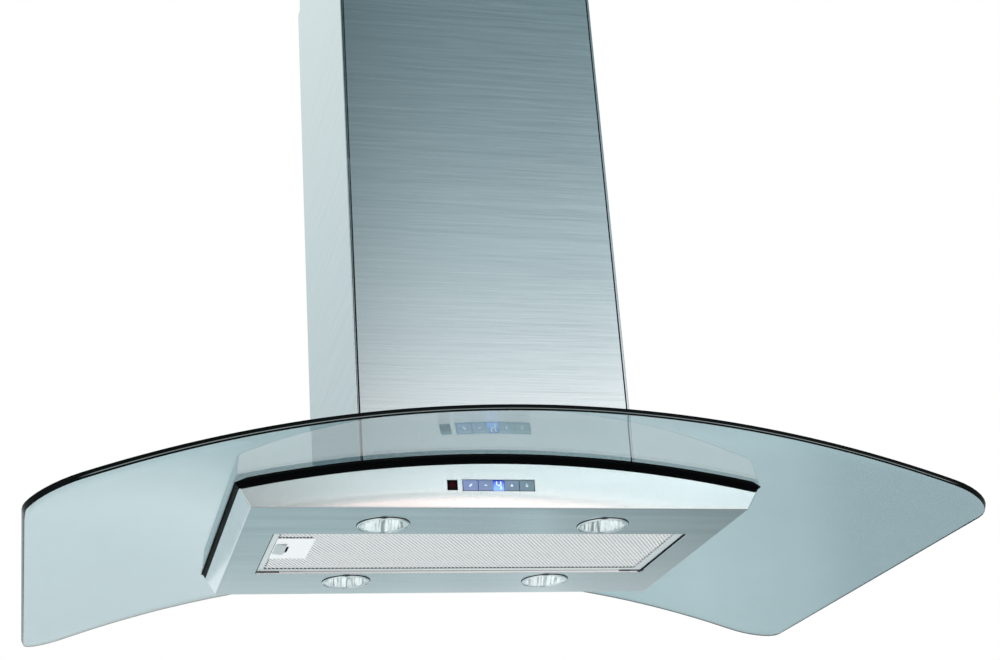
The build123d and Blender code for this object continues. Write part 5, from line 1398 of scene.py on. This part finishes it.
class HOOD_OT_stage(bpy.types.Operator):
    """Set up floor, light, background and camera"""

    bl_idname = "hood.stage"
    bl_label = "Stage"

    def world(self, context):
        """White to the camera, a soft studio to what shines."""
        world = bpy.data.worlds.new("Studio")
        context.scene.world = world
        world.use_nodes = True
        world.cycles.sampling_method = "NONE"
        tree = world.node_tree
        tree.nodes.clear()

        def add(kind, inputs=None, **options):
            return add_node(tree, kind, inputs, **options)

        def math_of(operation, *values):
            return math_node(tree, operation, *values)

        def background(colour, strength):
            return add("ShaderNodeBackground", {"Color": colour, "Strength": strength}).outputs[0]

        def ramp(value, stops):
            made = add("ShaderNodeValToRGB", {0: value})
            entries = made.color_ramp.elements
            while len(entries) < len(stops):
                entries.new(0.5)
            for entry, (place, tone) in zip(entries, stops):
                entry.position = place
                entry.color = (*tone, 1.0)
            return made.outputs[0]

        def by_elevation(stops):
            return ramp(level, [((math.sin(math.radians(angle)) + 1) / 2, tone) for angle, tone in stops])

        def by_side(stops):
            return ramp(side, [(math.tan(math.radians(angle)) + 0.5, (tone,) * 3) for angle, tone in stops])

        def product(first, second):
            colours = {0: 1.0, 6: first, 7: second}
            return add("ShaderNodeMix", colours, data_type="RGBA", blend_type="MULTIPLY").outputs[2]

        way = add("ShaderNodeTexCoord").outputs["Generated"]
        parts = add("ShaderNodeSeparateXYZ", {0: way}).outputs
        level = math_of("MULTIPLY_ADD", parts[2], 0.5, 0.5)
        ahead = math_of("ABSOLUTE", parts[1])
        side = math_of("ADD", math_of("DIVIDE", parts[0], ahead), 0.5)
        rear = product(by_elevation(REAR_STUDIO), by_side(REAR_SIDES))
        front = product(by_elevation(FRONT_STUDIO), by_side(FRONT_SIDES))
        turn = {"Value": parts[1], "From Min": -0.25, "From Max": 0.25}
        smooth = add("ShaderNodeMapRange", turn, interpolation_type="SMOOTHSTEP")
        toward_rear = smooth.outputs["Result"]
        studio = add("ShaderNodeMix", {0: toward_rear, 6: front, 7: rear}, data_type="RGBA").outputs[2]
        rays = add("ShaderNodeLightPath").outputs
        through_glass = rays["Is Transmission Ray"]
        shown = background((1.0, 1.0, 1.0, 1.0), 1.0)
        light = background((0.96, 0.99, 1.0, 1.0), 0.95)
        strength = math_of("MULTIPLY_ADD", through_glass, GLAZED_GAIN, STUDIO_STRENGTH)
        shine = background(studio, strength)
        direct = math_of("LESS_THAN", rays["Glossy Depth"], 0.5)
        seen = math_of("MAXIMUM", rays["Is Camera Ray"], math_of("MULTIPLY", through_glass, direct))
        shone = math_of("MAXIMUM", rays["Is Glossy Ray"], through_glass)
        first = add("ShaderNodeMixShader", {0: shone, 1: light, 2: shine}).outputs[0]
        second = add("ShaderNodeMixShader", {0: seen, 1: first, 2: shown}).outputs[0]
        add("ShaderNodeOutputWorld", {"Surface": second})

    def execute(self, context):
        stage = context.scene.hood_stage
        self.world(context)
        z = UNDERSIDE - stage.floor_drop
        corners = [(-14, -14, z), (14, -14, z), (14, 14, z), (-14, 14, z)]
        floor = new_piece("stage_floor", corners, [(0, 1, 2, 3)])
        pale = Finish("floor_paint")
        speck = pale.noise((6.0, 6.0, 6.0))
        colour = stage.floor_tint
        base = pale.mixed(speck, scaled(colour, 0.99), scaled(colour, 1.01))
        floor.data.materials.append(pale.done(base, 0.9))
        floor.visible_glossy = False
        floor.visible_transmission = False
        middle = Vector((0.0, 0.0, UNDERSIDE))

        for name, place, aim, width, power in (
            ("Key light", (-2.6, -3.0, 2.5), (0.0, 0.0, 0.1), 2.6, 95.0),
            ("Fill light", (3.2, -1.6, 1.3), (0.0, 0.0, 0.1), 2.6, 40.0),
        ):
            light = bpy.data.lights.new(name, "AREA")
            light.shape = "SQUARE"
            light.size = width
            light.energy = power
            lamp = bpy.data.objects.new(name, light)
            context.scene.collection.objects.link(lamp)
            aimed = (Vector(aim) - Vector(place)).to_track_quat("-Z", "Y").to_matrix().to_4x4()
            lamp.matrix_world = Matrix.Translation(middle + Vector(place)) @ aimed
            lamp.visible_glossy = False

        lens = bpy.data.cameras.new("Camera")
        lens.sensor_fit = "HORIZONTAL"
        lens.sensor_width = 36.0
        lens.lens = stage.lens
        lens.clip_end = 200.0
        camera = bpy.data.objects.new("Camera", lens)
        context.scene.collection.objects.link(camera)
        turn = (
            Matrix.Rotation(stage.yaw, 4, "Z")
            @ Matrix.Rotation(stage.pitch, 4, "X")
            @ Matrix.Rotation(stage.roll, 4, "Y")
            @ Matrix.Rotation(math.pi / 2, 4, "X")
        )
        camera.matrix_world = Matrix.Translation(middle + stage.camera_place) @ turn
        context.scene.camera = camera
        context.scene.view_settings.view_transform = "Standard"
        return {"FINISHED"}


# Tones of the soft studio that metal and glass reflect, as shares of its
# strength, at elevations in degrees. The sides are in degrees to the right.
# GLAZED_GAIN is added to the strength for what is reflected through glass.
STUDIO_STRENGTH = 2.0
GLAZED_GAIN = 1.0
REAR_STUDIO = (
    (-90, (0.42, 0.45, 0.46)), (-40, (0.35, 0.38, 0.39)), (-31, (0.06, 0.08, 0.09)),
    (-27.2, (0.12, 0.16, 0.17)), (-25.5, (0.27, 0.32, 0.33)), (-22, (0.36, 0.42, 0.43)),
    (-17.0, (0.22, 0.285, 0.295)), (-14.7, (0.215, 0.275, 0.285)), (-13.7, (0.29, 0.34, 0.35)),
    (-13.0, (0.46, 0.50, 0.50)), (-12.2, (0.56, 0.58, 0.58)), (-11.3, (0.51, 0.53, 0.53)),
    (-9.5, (0.42, 0.44, 0.44)), (0, (0.54, 0.58, 0.59)), (18, (0.33, 0.37, 0.38)),
    (24, (0.37, 0.415, 0.42)), (33, (0.44, 0.48, 0.48)), (90, (0.275, 0.3, 0.31)),
)
REAR_SIDES = (
    (-20, 1.0), (9.0, 0.97), (10.8, 0.92), (12.2, 0.98), (14.2, 0.91), (15.9, 1.0), (16.5, 1.15),
    (17.2, 0.86), (24, 0.56),
)
FRONT_STUDIO = (
    (-90, (0.45, 0.48, 0.49)), (-25, (0.58, 0.60, 0.60)), (-18.5, (0.62, 0.64, 0.64)),
    (-14.5, (0.62, 0.64, 0.64)), (-11, (0.47, 0.49, 0.49)), (13.0, (0.47, 0.49, 0.49)),
    (14.8, (0.92, 0.90, 0.90)), (16.3, (1.06, 0.98, 0.97)), (17.0, (1.84, 1.50, 1.44)),
    (17.6, (1.84, 1.50, 1.44)), (17.9, (0.78, 0.78, 0.79)), (18.6, (0.67, 0.69, 0.70)),
    (21.2, (0.53, 0.575, 0.585)), (24.2, (0.39, 0.45, 0.47)), (27.1, (0.235, 0.3, 0.315)),
    (30.1, (0.17, 0.225, 0.24)), (32.5, (0.135, 0.19, 0.205)), (90, (0.11, 0.14, 0.15)),
)
FRONT_SIDES = (
    (-26, 0.85), (-15, 0.05), (4, 0.03), (7, 0.10), (10.0, 0.72), (15.0, 0.94), (17.0, 0.84), (19.8, 0.84),
    (21.2, 1.12), (23.0, 0.92), (25.5, 0.7),
)


class HOOD_PT_sidebar(bpy.types.Panel):
    """Sizes, colours and the steps that build the hood."""

    bl_idname = "HOOD_PT_sidebar"
    bl_label = "Range hood"
    bl_space_type = "VIEW_3D"
    bl_region_type = "UI"
    bl_category = "Range hood"

    def draw(self, context):
        for step in STEPS:
            self.layout.operator(step.bl_idname, text=step.bl_label)
        for name, settings in SETTINGS.items():
            section = self.layout.box()
            section.label(text=settings.__doc__)
            for prop in settings.__annotations__:
                section.prop(getattr(context.scene, name), prop)


STEPS = (
    HOOD_OT_finishes,
    HOOD_OT_canopy,
    HOOD_OT_body,
    HOOD_OT_covers,
    HOOD_OT_lamps,
    HOOD_OT_filter,
    HOOD_OT_controls,
    HOOD_OT_stage,
)
CLASSES = (*SETTINGS.values(), *STEPS, HOOD_PT_sidebar)


def register():
    for made in CLASSES:
        bpy.utils.register_class(made)
    for name, settings in SETTINGS.items():
        setattr(bpy.types.Scene, name, PointerProperty(type=settings))


def unregister():
    for name in SETTINGS:
        delattr(bpy.types.Scene, name)
    for made in reversed(CLASSES):
        bpy.utils.unregister_class(made)


def main():
    """Builds the whole scene."""
    register()
    bpy.ops.hood.finishes()
    bpy.ops.hood.canopy()
    bpy.ops.hood.body()
    bpy.ops.hood.covers()
    bpy.ops.hood.lamps()
    bpy.ops.hood.filter()
    bpy.ops.hood.controls()
    bpy.ops.hood.stage()


if __name__ == "__main__":
    main()
